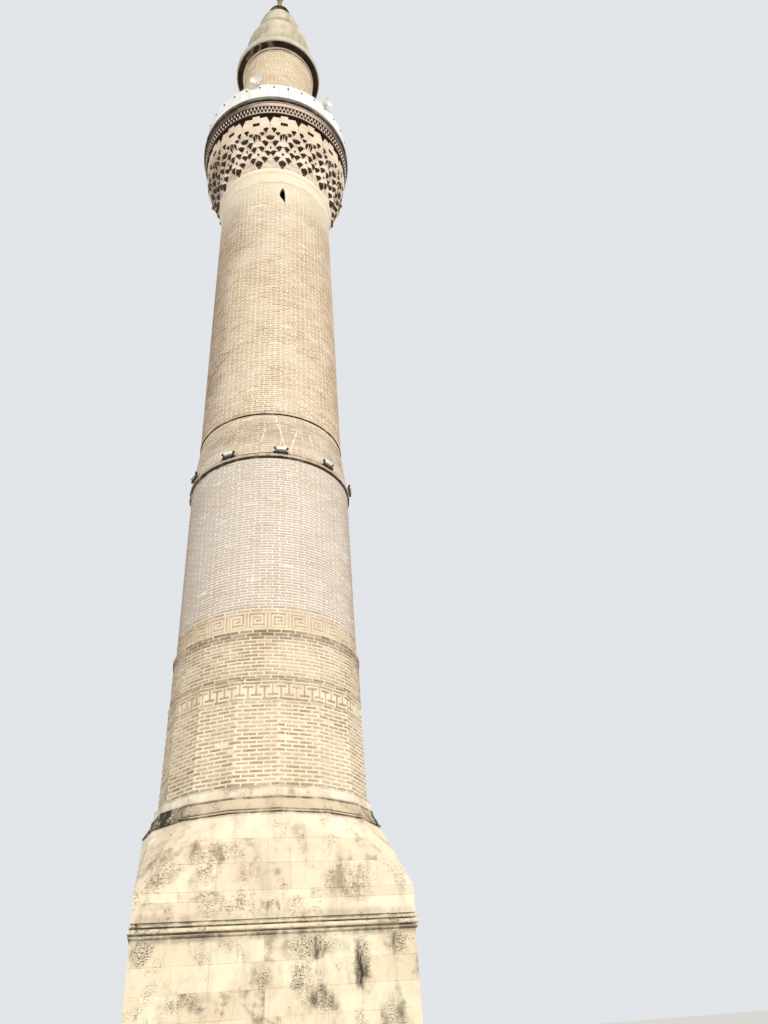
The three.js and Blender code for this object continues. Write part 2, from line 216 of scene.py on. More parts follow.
def limestone(name, pale, warm, grey, crust, crust_and_shade_bands=(), patches=(), crust_and_shade_share=0.92):
    """Travertine-like stone: pale beds, brown pits, grey streaks, black crust away from the rain, and dark
    bands at given heights that are crust on some stones and painted shade under lips and in grooves on
    others.
    """
    paint = Paint(name, 0.9, pale)
    tone = paint.tone()
    cloud = paint.noise(0.6, 8.0, 0.62)
    streaks = paint.noise(0.22, 9.0, 0.66, 0.22)
    pits = paint.noise(0.035, 5.0, 0.7, 1.8)
    broken = paint.noise(0.35, 8.0, 0.7)
    pitted = paint.times(paint.ramp(pits, 0.54, 0.64), paint.ramp(paint.noise(0.3, 5.0), 0.52, 0.64))
    paint.coat(paint.ramp(tone, 0.25, 1.0, 0.0, 0.5), warm)
    paint.coat(paint.ramp(cloud, 0.44, 0.62, 0.0, 0.6), warm)
    paint.coat(paint.ramp(streaks, 0.52, 0.68, 0.0, 0.5), grey)
    paint.coat(paint.times(pitted, 0.6), tuple(0.25 * value for value in grey))
    blackened = paint.times(paint.ramp(broken, 0.52, 0.64), paint.ramp(tone, 0.55, 1.0, 0.1, 0.8))
    # Dark bands: crust on some stones, painted shade under lips and in grooves on others.
    for low, high, edge, share in crust_and_shade_bands:
        near = paint.times(paint.level(low, high, edge), share)
        blackened = paint.most(blackened, paint.times(near, paint.ramp(broken, 0.36, 0.56)))
    if patches:
        run = paint.most(paint.ramp(pits, 0.44, 0.6), paint.ramp(streaks, 0.44, 0.6))
        blackened = paint.most(blackened, paint.times(paint.spots(patches), run))
    paint.coat(paint.times(blackened, crust_and_shade_share), crust)
    hollows = paint.times(pitted, -1.0)
    return paint.finish((hollows, 0.01, 0.8), (cloud, 0.03, 0.3), (paint.noise(0.014, 3.0), 0.002, 0.5))


def front(azimuth):
    return Vector((math.sin(azimuth), -math.cos(azimuth), 0.0))


def up(z):
    return Vector((0.0, 0.0, z))


def azimuth_of(point):
    return math.atan2(point.x, -point.y)


def whole(bm):
    return bm.verts[:] + bm.edges[:] + bm.faces[:]


def spin(bm, geometry, steps, angle=math.tau, **how):
    bmesh.ops.spin(
        bm, geom=geometry, cent=(0.0, 0.0, 0.0), axis=(0.0, 0.0, 1.0), angle=angle, steps=steps, **how,
    )


def add_piece(name, bm, material, replaced=(), smooth=None):
    """Makes one visible piece; faces that meet at less than smooth degrees are shaded as one surface."""
    mesh = bpy.data.meshes.new(name)
    bm.to_mesh(mesh)
    bm.free()
    mesh.materials.append(material)
    if smooth is not None:
        mesh.shade_smooth()
        mesh.set_sharp_from_angle(angle=math.radians(smooth))
    piece = put(name, mesh)
    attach(piece, "root")
    if replaced:
        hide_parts(*replaced)
    return piece


def paint_nodes(names, material):
    for name in names:
        nodes[name].data.materials.clear()
        nodes[name].data.materials.append(material)


def thicken(piece, thickness):
    shell = piece.modifiers.new("thickness", "SOLIDIFY")
    shell.thickness = thickness
    shell.offset = -1.0


def cut_level(bm, z):
    bmesh.ops.bisect_plane(bm, geom=whole(bm), plane_co=(0.0, 0.0, z), plane_no=(0.0, 0.0, 1.0))


def cut_upright(bm, faces, point, across):
    edges = {edge for face in faces for edge in face.edges}
    verts = {vert for face in faces for vert in face.verts}
    bmesh.ops.bisect_plane(bm, geom=[*verts, *edges, *faces], plane_co=point, plane_no=across)


def tint(bm, faces, shade):
    tone = bm.faces.layers.float["tone"]
    for face in faces:
        face[tone] = shade


def add_facing(name, bm, material, levels, per_course, joint=0.005, rise=0.008, spread=0.004, thickness=0.01):
    """Cuts a ring of wall into courses and stones, each one proud of the joints round it."""
    bm.faces.layers.float.new("tone")
    for z in levels[1:-1]:
        cut_level(bm, z)
    step = math.tau / per_course
    for course, (low, high) in enumerate(zip(levels[:-1], levels[1:])):
        first = step * (0.25 + 0.5 * (course % 2)) - math.pi
        joints = [first + step * stone + draw.uniform(-0.22, 0.22) * step for stone in range(per_course)]

        def course_faces():
            return [face for face in bm.faces if low < face.calc_center_median().z < high]

        for azimuth in joints:
            near = [face for face in course_faces() if face.calc_center_median().dot(front(azimuth)) > 0.0]
            cut_upright(bm, near, (0.0, 0.0, 0.0), (math.cos(azimuth), math.sin(azimuth), 0.0))
        stones = {}
        for face in course_faces():
            azimuth = azimuth_of(face.calc_center_median())
            passed = sum(1 for joint_azimuth in joints if joint_azimuth <= azimuth)
            stones.setdefault(passed % per_course, []).append(face)
        for faces in stones.values():
            depth = rise - draw.random() * spread
            rim = bmesh.ops.inset_region(bm, faces=faces, thickness=joint, depth=depth, use_even_offset=True)
            tint(bm, [*faces, *rim["faces"]], draw.random())
    thicken(add_piece(name, bm, material), thickness)


def point_outwards(bm):
    bm.normal_update()
    inward = [f for f in bm.faces if f.normal.dot(f.calc_center_median() * Vector((1.0, 1.0, 0.0))) < 0.0]
    bmesh.ops.reverse_faces(bm, faces=inward)


def ring_of_wall(radius_low, radius_high, bottom, top, steps, start=0.0):
    """The outer faces of a many-sided wall, without its top and bottom."""
    bm = bmesh.new()
    low = bm.verts.new(front(start) * radius_low + up(bottom))
    high = bm.verts.new(front(start) * radius_high + up(top))
    spin(bm, [low, high, bm.edges.new((low, high))], steps, use_merge=True)
    point_outwards(bm)
    return bm


cream = (0.86, 0.77, 0.57)
rosy = (0.68, 0.55, 0.39)
washed_grey = (0.47, 0.41, 0.32)
black_crust_and_shade = (0.055, 0.042, 0.03)
front_blackening = [
    (0.5, 2.68, 0.56, 0.17, 1.0), (-2.02, 2.72, 0.2, 0.22, 1.1), (1.3, 2.42, 0.15, 0.46, 1.2),
    (0.32, 2.3, 0.17, 0.25, 1.1), (-0.26, 2.28, 0.14, 0.22, 1.1), (0.65, 1.98, 0.26, 0.2, 1.0),
    (1.9, 2.66, 0.16, 0.2, 1.1), (-1.38, 2.05, 0.42, 0.14, 0.6), (1.15, 0.8, 0.4, 0.3, 0.8),
    (-0.9, 0.45, 0.6, 0.2, 0.8), (1.75, 1.7, 0.2, 0.4, 0.8), (-1.75, 1.2, 0.16, 0.3, 0.7),
]
ashlar = limestone(
    "ashlar", cream, rosy, washed_grey, black_crust_and_shade,
    [(2.84, 2.87, 0.06, 0.5), (0.0, 0.1, 0.25, 0.6)], front_blackening,
)
lime_joint = limestone("lime_joint", (0.7, 0.61, 0.46), (0.54, 0.45, 0.33), (0.4, 0.34, 0.26), black_crust_and_shade)
base_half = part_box("front_wall")[1].x
wall_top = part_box("front_wall")[1].z
base_courses = 8
doorway_half = 0.38
doorway_spring = 1.72
doorway_crown = 1.95
surround_width = 0.14
opening_half = doorway_half + surround_width / 2.0
opening_top = doorway_crown + surround_width / 2.0
to_corner = math.sqrt(2.0)
base_bm = ring_of_wall(base_half * to_corner, base_half * to_corner, 0.0, wall_top, 4, math.pi / 4)


def over_doorway(face):
    middle = face.calc_center_median()
    return middle.y > 1.0 and middle.z < opening_top


cut_level(base_bm, opening_top)
for edge_x in (-opening_half, opening_half):
    beside = [face for face in base_bm.faces if over_doorway(face)]
    cut_upright(base_bm, beside, (edge_x, 0.0, 0.0), (1.0, 0.0, 0.0))
in_doorway = [
    face for face in base_bm.faces if over_doorway(face) and abs(face.calc_center_median().x) < opening_half
]
bmesh.ops.delete(base_bm, geom=in_doorway, context="FACES")
course_levels = [wall_top * course / base_courses for course in range(base_courses + 1)]
add_facing("base_stones", base_bm, ashlar, course_levels, per_course=26)
base_walls = ["front_wall", "right_wall", "left_wall", "rear_wall_left", "rear_wall_right"]
paint_nodes(["ground_floor", *base_walls, "rear_door_arch"], lime_joint)


# Doorway surround: a plain limestone architrave of wedge-shaped stones round the rear doorway.
# It is bedded on the wall's core and laps the cut edges of the facing stones.
def add_surround(name, half, bottom, spring, crown, wall_distance, width, thickness, material):
    rise = crown - spring
    arch_radius = (half * half + rise * rise) / (2.0 * rise)
    sweep = math.asin(half / arch_radius)
    jamb_heights = (bottom, (bottom + spring) / 2.0)
    turns = [1.0 - step / 4.0 for step in range(9)]
    arch_middle = crown - arch_radius
    arch = [
        (arch_radius * math.sin(sweep * turn), arch_middle + arch_radius * math.cos(sweep * turn))
        for turn in turns
    ]
    head = [((half + width) * turn, crown + width) for turn in turns]
    bm = bmesh.new()
    loops = []
    for reach, top in ((half, arch), (half + width, head)):
        outline = [(reach, z) for z in jamb_heights] + top + [(-reach, z) for z in reversed(jamb_heights)]
        verts = [bm.verts.new((x, wall_distance, z)) for x, z in outline]
        loops += [bm.edges.new(pair) for pair in zip(verts[:-1], verts[1:])]
    bmesh.ops.bridge_loops(bm, edges=loops)
    bm.faces.layers.float.new("tone")
    bmesh.ops.recalc_face_normals(bm, faces=bm.faces[:])
    bmesh.ops.reverse_faces(bm, faces=[face for face in bm.faces if face.normal.y < 0.0])
    for face in bm.faces:
        tint(bm, [face], draw.random())
    bmesh.ops.inset_individual(bm, faces=bm.faces[:], thickness=0.006, depth=0.005, use_even_offset=True)
    thicken(add_piece(name, bm, material), thickness)


add_surround(
    "rear_door_surround", doorway_half, 0.0, doorway_spring, doorway_crown, base_half + 0.012,
    surround_width, 0.03, ashlar,
)


# Moulding round the base: cut limestone, a large roll between two thin ones, with black crust in its hollows.
# It is a separate course of stones, mitred at the corners.
def turn_profile(bm, outline, steps, start=0.0, closed=True):
    """Turns an outline of (radius, height) points round the tower's axis."""
    verts = [bm.verts.new(front(start) * radius + up(z)) for radius, z in outline]
    pairs = list(zip(verts[:-1], verts[1:])) + ([(verts[-1], verts[0])] if closed else [])
    edges = [bm.edges.new(pair) for pair in pairs]
    spin(bm, [*verts, *edges], steps, use_merge=True)
    bmesh.ops.remove_doubles(bm, verts=bm.verts[:], dist=0.0001)
    bmesh.ops.recalc_face_normals(bm, faces=bm.faces[:])


def add_turned(name, outline, steps, material, replaced, at=(0.0, 0.0), bore=None, smooth=35.0,
               start=0.0):
    """A turned piece; its outline is measured from the radius and height at, and a bore closes it inside."""
    outline = [(at[0] + out, at[1] + rise) for out, rise in outline]
    if bore is not None:
        outline = [(bore, outline[0][1]), *outline, (bore, outline[-1][1])]
    bm = bmesh.new()
    turn_profile(bm, outline, steps, start, closed=bore != 0.0)
    add_piece(name, bm, material, replaced, smooth)


def arc(centre_radius, centre_z, size, begin, end, points=7):
    """Points of a round moulding, from one angle to another, 0 pointing outwards and 90 up."""
    angles = [math.radians(begin + (end - begin) * i / (points - 1)) for i in range(points)]
    return [(centre_radius + size * math.cos(a), centre_z + size * math.sin(a)) for a in angles]


# The patch on its right end is partly crust and partly painted shadow.
moulding_stone = limestone(
    "moulding_stone", cream, (0.64, 0.52, 0.36), (0.36, 0.29, 0.21), black_crust_and_shade,
    [
        (2.86, 2.905, 0.02, 0.9), (2.93, 2.945, 0.012, 0.9),
        (3.015, 3.03, 0.012, 0.9), (3.07, 3.12, 0.03, 0.75),
    ],
    [(-2.0, 3.04, 0.42, 0.12, 1.0), (1.55, 2.98, 0.75, 0.12, 0.5), (-1.6, 3.1, 0.16, 0.06, 1.0)],
    0.9,
)
moulding_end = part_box("base_moulding")[1]
moulding_reach = moulding_end.x - base_half
moulding_height = moulding_end.z - wall_top
roll_outline = [
    (-0.02, 0.0), (0.012, 0.0), *arc(0.014, 0.03, 0.022, -80, 80), (-0.004, 0.058), (-0.004, 0.072),
    *arc(moulding_reach - 0.036, 0.108, 0.036, -80, 80), (0.0, 0.148), (0.0, 0.16),
    *arc(0.018, 0.182, 0.02, -80, 60), (0.0, 0.206), (-0.006, moulding_height), (-0.06, moulding_height),
]
roll_outline = [((base_half + out) * to_corner, wall_top + rise) for out, rise in roll_outline]
add_turned(
    "moulding_rolls", roll_outline, 4, moulding_stone, ["base_moulding"], start=math.pi / 4,
)

# Transition: large limestone blocks that turn the square into sixteen sides by way of folded facets.
# The facing stones are cut on the facets' lines and stand a little proud of their joints.
# The dark band at its top, just under the cornice's lip, is painted shade.
transition_stone = limestone(
    "transition_stone", (0.88, 0.79, 0.6), rosy, washed_grey, (0.33, 0.235, 0.155),
    [(4.66, 4.68, 0.03, 0.5), (3.1, 3.16, 0.08, 0.5)],
    [
        (-1.32, 4.05, 0.24, 0.2, 0.9), (-0.97, 4.05, 0.18, 0.19, 0.9), (-1.15, 3.7, 0.22, 0.18, 0.8),
        (-0.6, 3.72, 0.09, 0.17, 0.9), (-1.1, 3.44, 0.26, 0.09, 1.2), (-0.66, 3.32, 0.2, 0.18, 1.3),
        (-0.1, 3.28, 0.16, 0.11, 1.2), (-1.85, 3.9, 0.25, 0.4, 1.0), (1.2, 3.6, 0.5, 0.3, 0.9),
    ],
)
plinth_low, plinth_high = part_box("transition_front")
sides = 16
square_top = 3.5
ring_radius = -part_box("stone_cornice")[0].y - 0.024
transition_bm = bmesh.new()
for turn in range(4):
    corner = front(math.pi / 4 + math.pi / 2 * turn) * -plinth_low.y * to_corner
    for z in (plinth_low.z, square_top):
        transition_bm.verts.new(corner + up(z))
for turn in range(sides):
    transition_bm.verts.new(front(math.tau / sides * turn) * ring_radius + up(plinth_high.z))
bmesh.ops.convex_hull(transition_bm, input=transition_bm.verts[:])
level_faces = [face for face in transition_bm.faces if abs(face.normal.z) > 0.99]
bmesh.ops.delete(transition_bm, geom=level_faces, context="FACES_ONLY")
bmesh.ops.dissolve_limit(
    transition_bm, angle_limit=math.radians(1.0), verts=transition_bm.verts[:], edges=transition_bm.edges[:],
)
point_outwards(transition_bm)
transition_levels = [plinth_low.z, 3.36, square_top, 3.9, 4.27, plinth_high.z]
add_facing("transition_stones", transition_bm, transition_stone, transition_levels, per_course=24)
quarters = ("front", "right", "rear", "left")
paint_nodes([f"transition_{side}" for side in quarters], lime_joint)

# Cornice: a sixteen-sided moulding of cut stone, with a lip, a long hollow and a plain white band on top.
# The band is of separate white blocks that follow the sides.
# Its three dark bands are painted shade: under the lip, in the groove above it and under the white band. The
# patches at the sides are stains.
cornice_stone = limestone(
    "cornice_stone", (0.67, 0.56, 0.4), (0.57, 0.45, 0.31), (0.36, 0.29, 0.21), black_crust_and_shade,
    [(4.68, 4.7, 0.015, 1.0), (4.735, 4.755, 0.012, 1.0), (4.945, 4.97, 0.01, 0.9)],
    [(-1.95, 4.78, 0.62, 0.34, 1.8), (2.05, 4.78, 0.45, 0.3, 1.2)], 0.9,
)
cornice_low, cornice_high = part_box("stone_cornice")
lip = -cornice_low.y
band_bottom = cornice_high.z - 0.205
band_rise = band_bottom - cornice_low.z
cornice_outline = [
    (-0.02, 0.0), *arc(-0.022, 0.034, 0.022, -80, 80), (-0.046, 0.066), (-0.046, 0.078),
    *arc(0.1, 0.31, 0.24, -132, -180, 8), (-0.15, band_rise - 0.012), (-0.194, band_rise - 0.01),
    (-0.194, band_rise),
]
add_turned(
    "cornice_moulding", cornice_outline, sides, cornice_stone, ["stone_cornice"],
    (lip, cornice_low.z), bore=lip - 0.3,
)
white_stone = limestone(
    "white_stone", (0.9, 0.82, 0.66), (0.76, 0.64, 0.46), (0.56, 0.48, 0.36), (0.16, 0.12, 0.08),
    [(5.14, 5.17, 0.02, 0.5)],
)
band_bm = ring_of_wall(lip - 0.176, lip - 0.188, band_bottom, cornice_high.z, sides)
add_facing(
    "cornice_band_stones", band_bm, white_stone, [band_bottom, cornice_high.z], per_course=23,
    joint=0.003, rise=0.006, spread=0.003, thickness=0.1,
)

# Sixteen-sided brick drum: flat bricks in lime joints nearly as high as the bricks.
# Three bricks fill a side, and every other course starts and ends with a half brick at the corners.
course_mesh = bpy.data.meshes.new("course")
joint_width = 0.034
facing = 0.008


def soot_and_shade(paint, bands, patches=()):
    """Darker bands at given heights, as (low, high, fade, strength) bands with ragged edges: dirt from rain
    in some places, painted shade under ledges and mouldings in others.
    """
    result = 0.0
    for low, high, edge, share in bands:
        result = paint.most(result, paint.times(paint.level(low, high, edge), share))
    result = paint.times(result, paint.ramp(paint.noise(0.55, 6.0, 0.62), 0.34, 0.6))
    return paint.most(result, paint.spots(patches)) if patches else result


def brickwork(name, light, dark, burnt, bands, patches=(), films=(), inside=None):
    """Flat fired brick, its tone changing from brick to brick, worn pale in places, and darker in bands that
    are soot in some places and painted shade under ledges in others.
    """
    paint = Paint(name, 0.92, light)
    tone = paint.tone()
    speckle = paint.noise(0.05, 6.0, 0.7)
    cloud = paint.noise(1.1, 6.0, 0.62)
    worn = tuple(0.35 + 0.62 * value for value in light)
    paint.coat(paint.ramp(tone, 0.0, 0.8), dark)
    paint.coat(paint.ramp(tone, 0.9, 1.0, 0.0, 0.75), burnt)
    paint.coat(paint.ramp(speckle, 0.5, 0.66, 0.0, 0.5), worn)
    paint.coat(paint.ramp(cloud, 0.48, 0.62, 0.0, 0.5), worn)
    paint.coat(paint.ramp(cloud, 0.46, 0.34, 0.0, 0.32), burnt)
    for low, high, edge, share, film_colour in films:
        left_on = paint.ramp(cloud, 0.3, 0.6, 0.6 * share, share)
        paint.coat(paint.times(paint.level(low, high, edge), left_on), film_colour)
    dirt_and_shade = paint.times(soot_and_shade(paint, bands, patches), paint.ramp(tone, 0.0, 0.8, 0.6, 1.1))
    paint.coat(dirt_and_shade, (0.075, 0.048, 0.028))
    # Faces with a tone above 1 take the inside colour: painted shade on the inner faces of niches.
    if inside:
        paint.coat(paint.ramp(tone, 1.0, 2.0), inside)
    return paint.finish((paint.noise(0.018, 5.0, 0.7), 0.004, 0.7), (cloud, 0.01, 0.2))


def lime_bed(name, pale, dark, bands=(), patches=(), dirt_and_shade_share=0.8, dark_inside=None):
    """Lime mortar, pale where it is clean; inside the tower, where no light falls, it is nearly black."""
    paint = Paint(name, 0.95, pale)
    cloud = paint.noise(0.5, 7.0, 0.65)
    paint.coat(paint.ramp(cloud, 0.4, 0.64), dark)
    paint.coat(paint.times(soot_and_shade(paint, bands, patches), dirt_and_shade_share), (0.12, 0.08, 0.05))
    if dark_inside:
        flat = paint.add("VectorMath", {0: paint.place, 1: (1.0, 1.0, 0.0)}, operation="MULTIPLY").outputs[0]
        radius = paint.add("VectorMath", {0: flat}, operation="LENGTH").outputs["Value"]
        paint.coat(paint.ramp(radius, dark_inside, dark_inside - 0.05), (0.012, 0.009, 0.006))
    return paint.finish((paint.noise(0.01, 4.0, 0.7), 0.003, 0.8), (cloud, 0.01, 0.4))


def sized(width, depth, height):
    return Matrix.Diagonal((width, depth, height, 1.0))


def joined(corners, kind):
    """The edges or faces that meet at any of the corners."""
    return {element for corner in corners for element in getattr(corner, kind)}


def lay_brick(bm, turn, along, distance, z, length, brick_height, lean=0.0, depth=0.05):
    """One brick bedded in the wall that faces turn, its front edges eased by 3 to 4 mm."""
    place = moved(along, 0.003 + depth / 2.0 - distance, z)
    where = turned(turn) @ place @ turned(lean, "Y") @ sized(length, depth, brick_height)
    faces = joined(bmesh.ops.create_cube(bm, size=1.0, matrix=where)["verts"], "link_faces")
    out = front(turn)
    outer = max(faces, key=lambda face: face.calc_center_median().dot(out))
    rim = bmesh.ops.inset_region(bm, faces=[outer], thickness=0.004, depth=0.003)["faces"]
    tint(bm, [*faces, *rim], draw.random())


def start_course():
    course = bmesh.new()
    course.faces.layers.float.new("tone")
    return course


def join_course(wall, course):
    course.to_mesh(course_mesh)
    course.free()
    wall.from_mesh(course_mesh)


def settle():
    """How far a brick has been laid or worn back from the face of the wall."""
    return abs(draw.gauss(0.0, 0.0016)) + (0.007 if draw.random() < 0.025 else 0.0)


# The faint band at the drum's foot, just above the white band, is painted shade.
drum_soot_and_shade = [
    (8.0, 8.13, 0.14, 0.6), (7.12, 7.17, 0.05, 0.4), (5.17, 5.21, 0.04, 0.3), (6.72, 6.76, 0.04, 0.25),
    (6.8, 7.02, 0.06, 0.16), (8.045, 8.056, 0.006, 1.8),
]
drum_patches = [
    (-0.68, 7.12, 0.26, 0.07, 0.5), (0.17, 7.09, 0.09, 0.11, 0.45), (0.8, 7.1, 0.22, 0.07, 0.45),
    (0.3, 6.62, 0.14, 0.06, 0.25), (-0.3, 6.62, 0.34, 0.06, 0.2),
]
drum_brick = brickwork(
    "drum_brick", (0.68, 0.525, 0.355), (0.42, 0.305, 0.195), (0.28, 0.185, 0.115), drum_soot_and_shade, drum_patches,
)
drum_lime = lime_bed("drum_lime", (0.88, 0.79, 0.6), (0.75, 0.64, 0.46), drum_soot_and_shade, drum_patches, 0.25)
drum_low, drum_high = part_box("polygonal_drum")
drum_foot_radius = -drum_low.y
drum_head_radius = 1.962
polygon_courses = 21
half_side = math.pi / sides
polygon_wall = bmesh.new()
for course_number in range(polygon_courses):
    course = start_course()
    share = (course_number + 0.5) / polygon_courses
    radius = drum_foot_radius + (drum_head_radius - drum_foot_radius) * share
    brick_pitch = 2.0 * radius * math.sin(half_side) / 3.0
    z = drum_low.z + (drum_high.z - drum_low.z) * share
    half_joint = joint_width / 2.0 / brick_pitch
    if course_number % 2:
        ends = [(-1.5 + half_joint, -0.5), (-0.5, 0.5), (0.5, 1.5 - half_joint)]
    else:
        ends = [(-1.5 - half_joint, -1.0), (-1.0, 0.0), (0.0, 1.0), (1.0, 1.5 + half_joint)]
    for side in range(sides):
        for begin, end in ends:
            lay_brick(
                course, half_side * (2 * side + 1), (begin + end) / 2.0 * brick_pitch,
                radius * math.cos(half_side) + facing - settle(), z + draw.gauss(0.0, 0.002),
                (end - begin) * brick_pitch - joint_width + draw.gauss(0.0, 0.004),
                0.038 + draw.gauss(0.0, 0.0025), draw.gauss(0.0, 0.008),
            )
    join_course(polygon_wall, course)
add_piece("polygonal_drum_bricks", polygon_wall, drum_brick)
paint_nodes(["polygonal_drum"], drum_lime)

# Lower fret band: bricks on edge set as interlocking Ts between two plain courses.
# Upright Ts stand on the lower course and turned ones hang from the upper course, 40 of each round the drum.
fret_radius = drum_head_radius - 0.002
fret_side = 2.0 * fret_radius * math.sin(half_side)


def lay_along(bm, start, end, z, brick_height, proud):
    """A strip of brick along the sixteen-sided wall, broken where it meets a corner."""
    for side in range(math.floor(start / fret_side), math.floor(end / fret_side) + 1):
        left = max(start, side * fret_side)
        right = min(end, (side + 1) * fret_side)
        if right - left > 0.012:
            lay_brick(
                bm, half_side * (2 * side + 1), (left + right) / 2.0 - (side + 0.5) * fret_side,
                fret_radius * math.cos(half_side) + proud - settle(), z, right - left, brick_height,
            )


t_count = 40
t_pitch = fret_side * sides / t_count
t_first = 1.3 / 22.5 * fret_side
t_bar_half = 0.098
t_stem_half = 0.016
strip_height = 0.036
fret_proud = 0.01
fret_bm = start_course()
for number in range(t_count):
    standing = number * t_pitch + t_first
    hung = standing + t_pitch / 2.0
    for middle, bar_z, stem_z, stem_height in ((standing, 6.98, 6.856, 0.2), (hung, 6.822, 6.94, 0.19)):
        lay_along(fret_bm, middle - t_bar_half, middle + t_bar_half, bar_z, strip_height, fret_proud)
        lay_along(fret_bm, middle - t_stem_half, middle + t_stem_half, stem_z, stem_height, fret_proud)
plain_pitch = fret_side / 2.5
for z, proud in ((6.742, 0.01), (7.052, 0.01), (7.108, 0.018)):
    for number in range(t_count):
        start = (number + draw.uniform(-0.04, 0.04)) * plain_pitch
        lay_along(fret_bm, start, start + plain_pitch - 0.03, z, strip_height, proud)
add_piece("lower_fret_bricks", fret_bm, drum_brick)
paint_nodes(["lower_fret_band"], drum_lime)


# Round drum: plain courses of bricks 23 cm long, with two courses that step out under the upper fret.
# Its foot stands inside the sixteen-sided drum's corners, where dirt gathers.
def spans_beside(left, right, opening):
    """The parts of a brick's place that are left beside an opening, all as azimuths."""
    middle, half = opening
    turns = round(((left + right) / 2.0 - middle) / math.tau) * math.tau
    opening_left = middle - half + turns
    opening_right = middle + half + turns
    if right <= opening_left or left >= opening_right:
        return [(left, right)]
    return [(left, opening_left), (opening_right, right)]


def lay_round_course(wall, radius, z, brick_height, count, turn, joint=joint_width, opening=None, depth=0.05):
    course = start_course()
    step = math.tau / count
    for number in range(count):
        left = turn + step * (number - 0.5)
        places = spans_beside(left, left + step, opening) if opening else [(left, left + step)]
        for begin, end in places:
            length = (end - begin) * radius - joint
            if length > 0.02:
                lay_brick(
                    course, (begin + end) / 2.0, draw.gauss(0.0, 0.003), radius - settle(),
                    z + draw.gauss(0.0, 0.0015), length + draw.gauss(0.0, 0.004),
                    brick_height + draw.gauss(0.0, 0.0015), draw.gauss(0.0, 0.007), depth,
                )
    join_course(wall, course)


def lay_wall(wall, low, high, radii, course_height, count, brick_height, joint=joint_width, opening=None,
             wander=0.08):
    """Courses of bricks in running bond; an opening is (azimuth, half width, bottom, top)."""
    courses = round((high - low) / course_height)
    for number in range(courses):
        share = (number + 0.5) / courses
        radius = radii[0] + (radii[1] - radii[0]) * share + facing
        z = low + (high - low) * share
        gap = None
        if opening and opening[2] < z < opening[3]:
            gap = (opening[0], (opening[1] - joint / 2.0) / radius)
        turn = math.tau / count * (0.5 * (number % 2) + draw.uniform(-wander, wander))
        lay_round_course(wall, radius, z, brick_height, count, turn, joint, gap)


round_low, round_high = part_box("round_drum")
round_wall = bmesh.new()
round_count = 45
lay_wall(
    round_wall, round_low.z, round_high.z - 0.13, (1.942, 1.93), course_height=0.072, count=round_count,
    brick_height=0.039,
)
lay_round_course(round_wall, 1.948, round_high.z - 0.097, 0.042, round_count, 0.02)
lay_round_course(round_wall, 1.956, round_high.z - 0.03, 0.044, round_count, 0.09)
add_piece("round_drum_bricks", round_wall, drum_brick)
paint_nodes(["round_drum"], drum_lime)

# Upper fret band: bricks on edge laid as square spirals, with one upright brick strip between neighbours.
# Strips and joints are about equally wide, and 29 spirals go round the tower.
fret_brick = brickwork(
    "fret_brick", (0.64, 0.5, 0.35), (0.52, 0.39, 0.26), (0.4, 0.28, 0.19), [(8.1, 8.13, 0.04, 0.35)],
)
spiral_radius = 1.893 + fret_proud
spirals = 29
spiral_cell = math.tau / spirals / 6.0
spiral_rows = [8.184, 8.26, 8.336, 8.412, 8.488]
strip_width = 0.036
spiral_path = [(4, 0), (0, 0), (0, 4), (4, 4), (4, 1), (1, 1), (1, 3), (3, 3), (3, 2), (2, 2)]
spiral_turn = math.radians(-0.5)
divider_height = 0.345
spiral_bm = bmesh.new()
for spiral in range(spirals):
    course = start_course()
    middle = spiral_turn + math.tau / spirals * spiral
    for (column, row), (next_column, next_row) in zip(spiral_path[:-1], spiral_path[1:]):
        left = (min(column, next_column) - 2) * spiral_cell
        right = (max(column, next_column) - 2) * spiral_cell
        bottom = spiral_rows[min(row, next_row)]
        top = spiral_rows[max(row, next_row)]
        lay_brick(
            course, middle + (left + right) / 2.0, 0.0, spiral_radius - settle(), (bottom + top) / 2.0,
            (right - left) * spiral_radius + strip_width, top - bottom + strip_width,
        )
    lay_brick(
        course, middle + 3.0 * spiral_cell, 0.0, spiral_radius - settle(), spiral_rows[2], strip_width,
        divider_height,
    )
    join_course(spiral_bm, course)
lay_round_course(spiral_bm, 1.899, 8.556, 0.038, round_count, 0.05)
add_piece("upper_fret_bricks", spiral_bm, fret_brick)
paint_nodes(["upper_fret_band"], drum_lime)

# Lower shaft: plain brick courses of 6.4 cm, pale with lime, the joints almost as high as the bricks.
# The frame's four quarters are the lime core behind the bricks.
# The thin dark band just under the lamp ledge, and the patch that widens it on the left, are painted shadow
# under the ledge.
shaft_soot_and_shade = [(12.325, 12.356, 0.012, 2.4), (8.6, 8.64, 0.03, 0.25)]
shaft_patches = [(-1.58, 12.33, 0.5, 0.05, 0.9)]
shaft_brick = brickwork(
    "shaft_brick", (0.71, 0.57, 0.42), (0.57, 0.43, 0.31), (0.43, 0.31, 0.22), shaft_soot_and_shade, shaft_patches,
    [(8.6, 12.36, 0.02, 0.75, (0.6, 0.53, 0.485))],
)
shaft_lime = lime_bed(
    "shaft_lime", (0.89, 0.83, 0.71), (0.8, 0.725, 0.6), shaft_soot_and_shade, shaft_patches, 0.8, 1.6,
)
lower_low, lower_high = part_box("lower_shaft_front")
shaft_course = 0.064
lower_wall = bmesh.new()
lay_wall(
    lower_wall, lower_low.z, lower_high.z, (1.89, 1.856), shaft_course, count=45, brick_height=0.036,
    joint=0.029,
)
add_piece("lower_shaft_bricks", lower_wall, shaft_brick)
paint_nodes([f"lower_shaft_{side}" for side in quarters], shaft_lime)

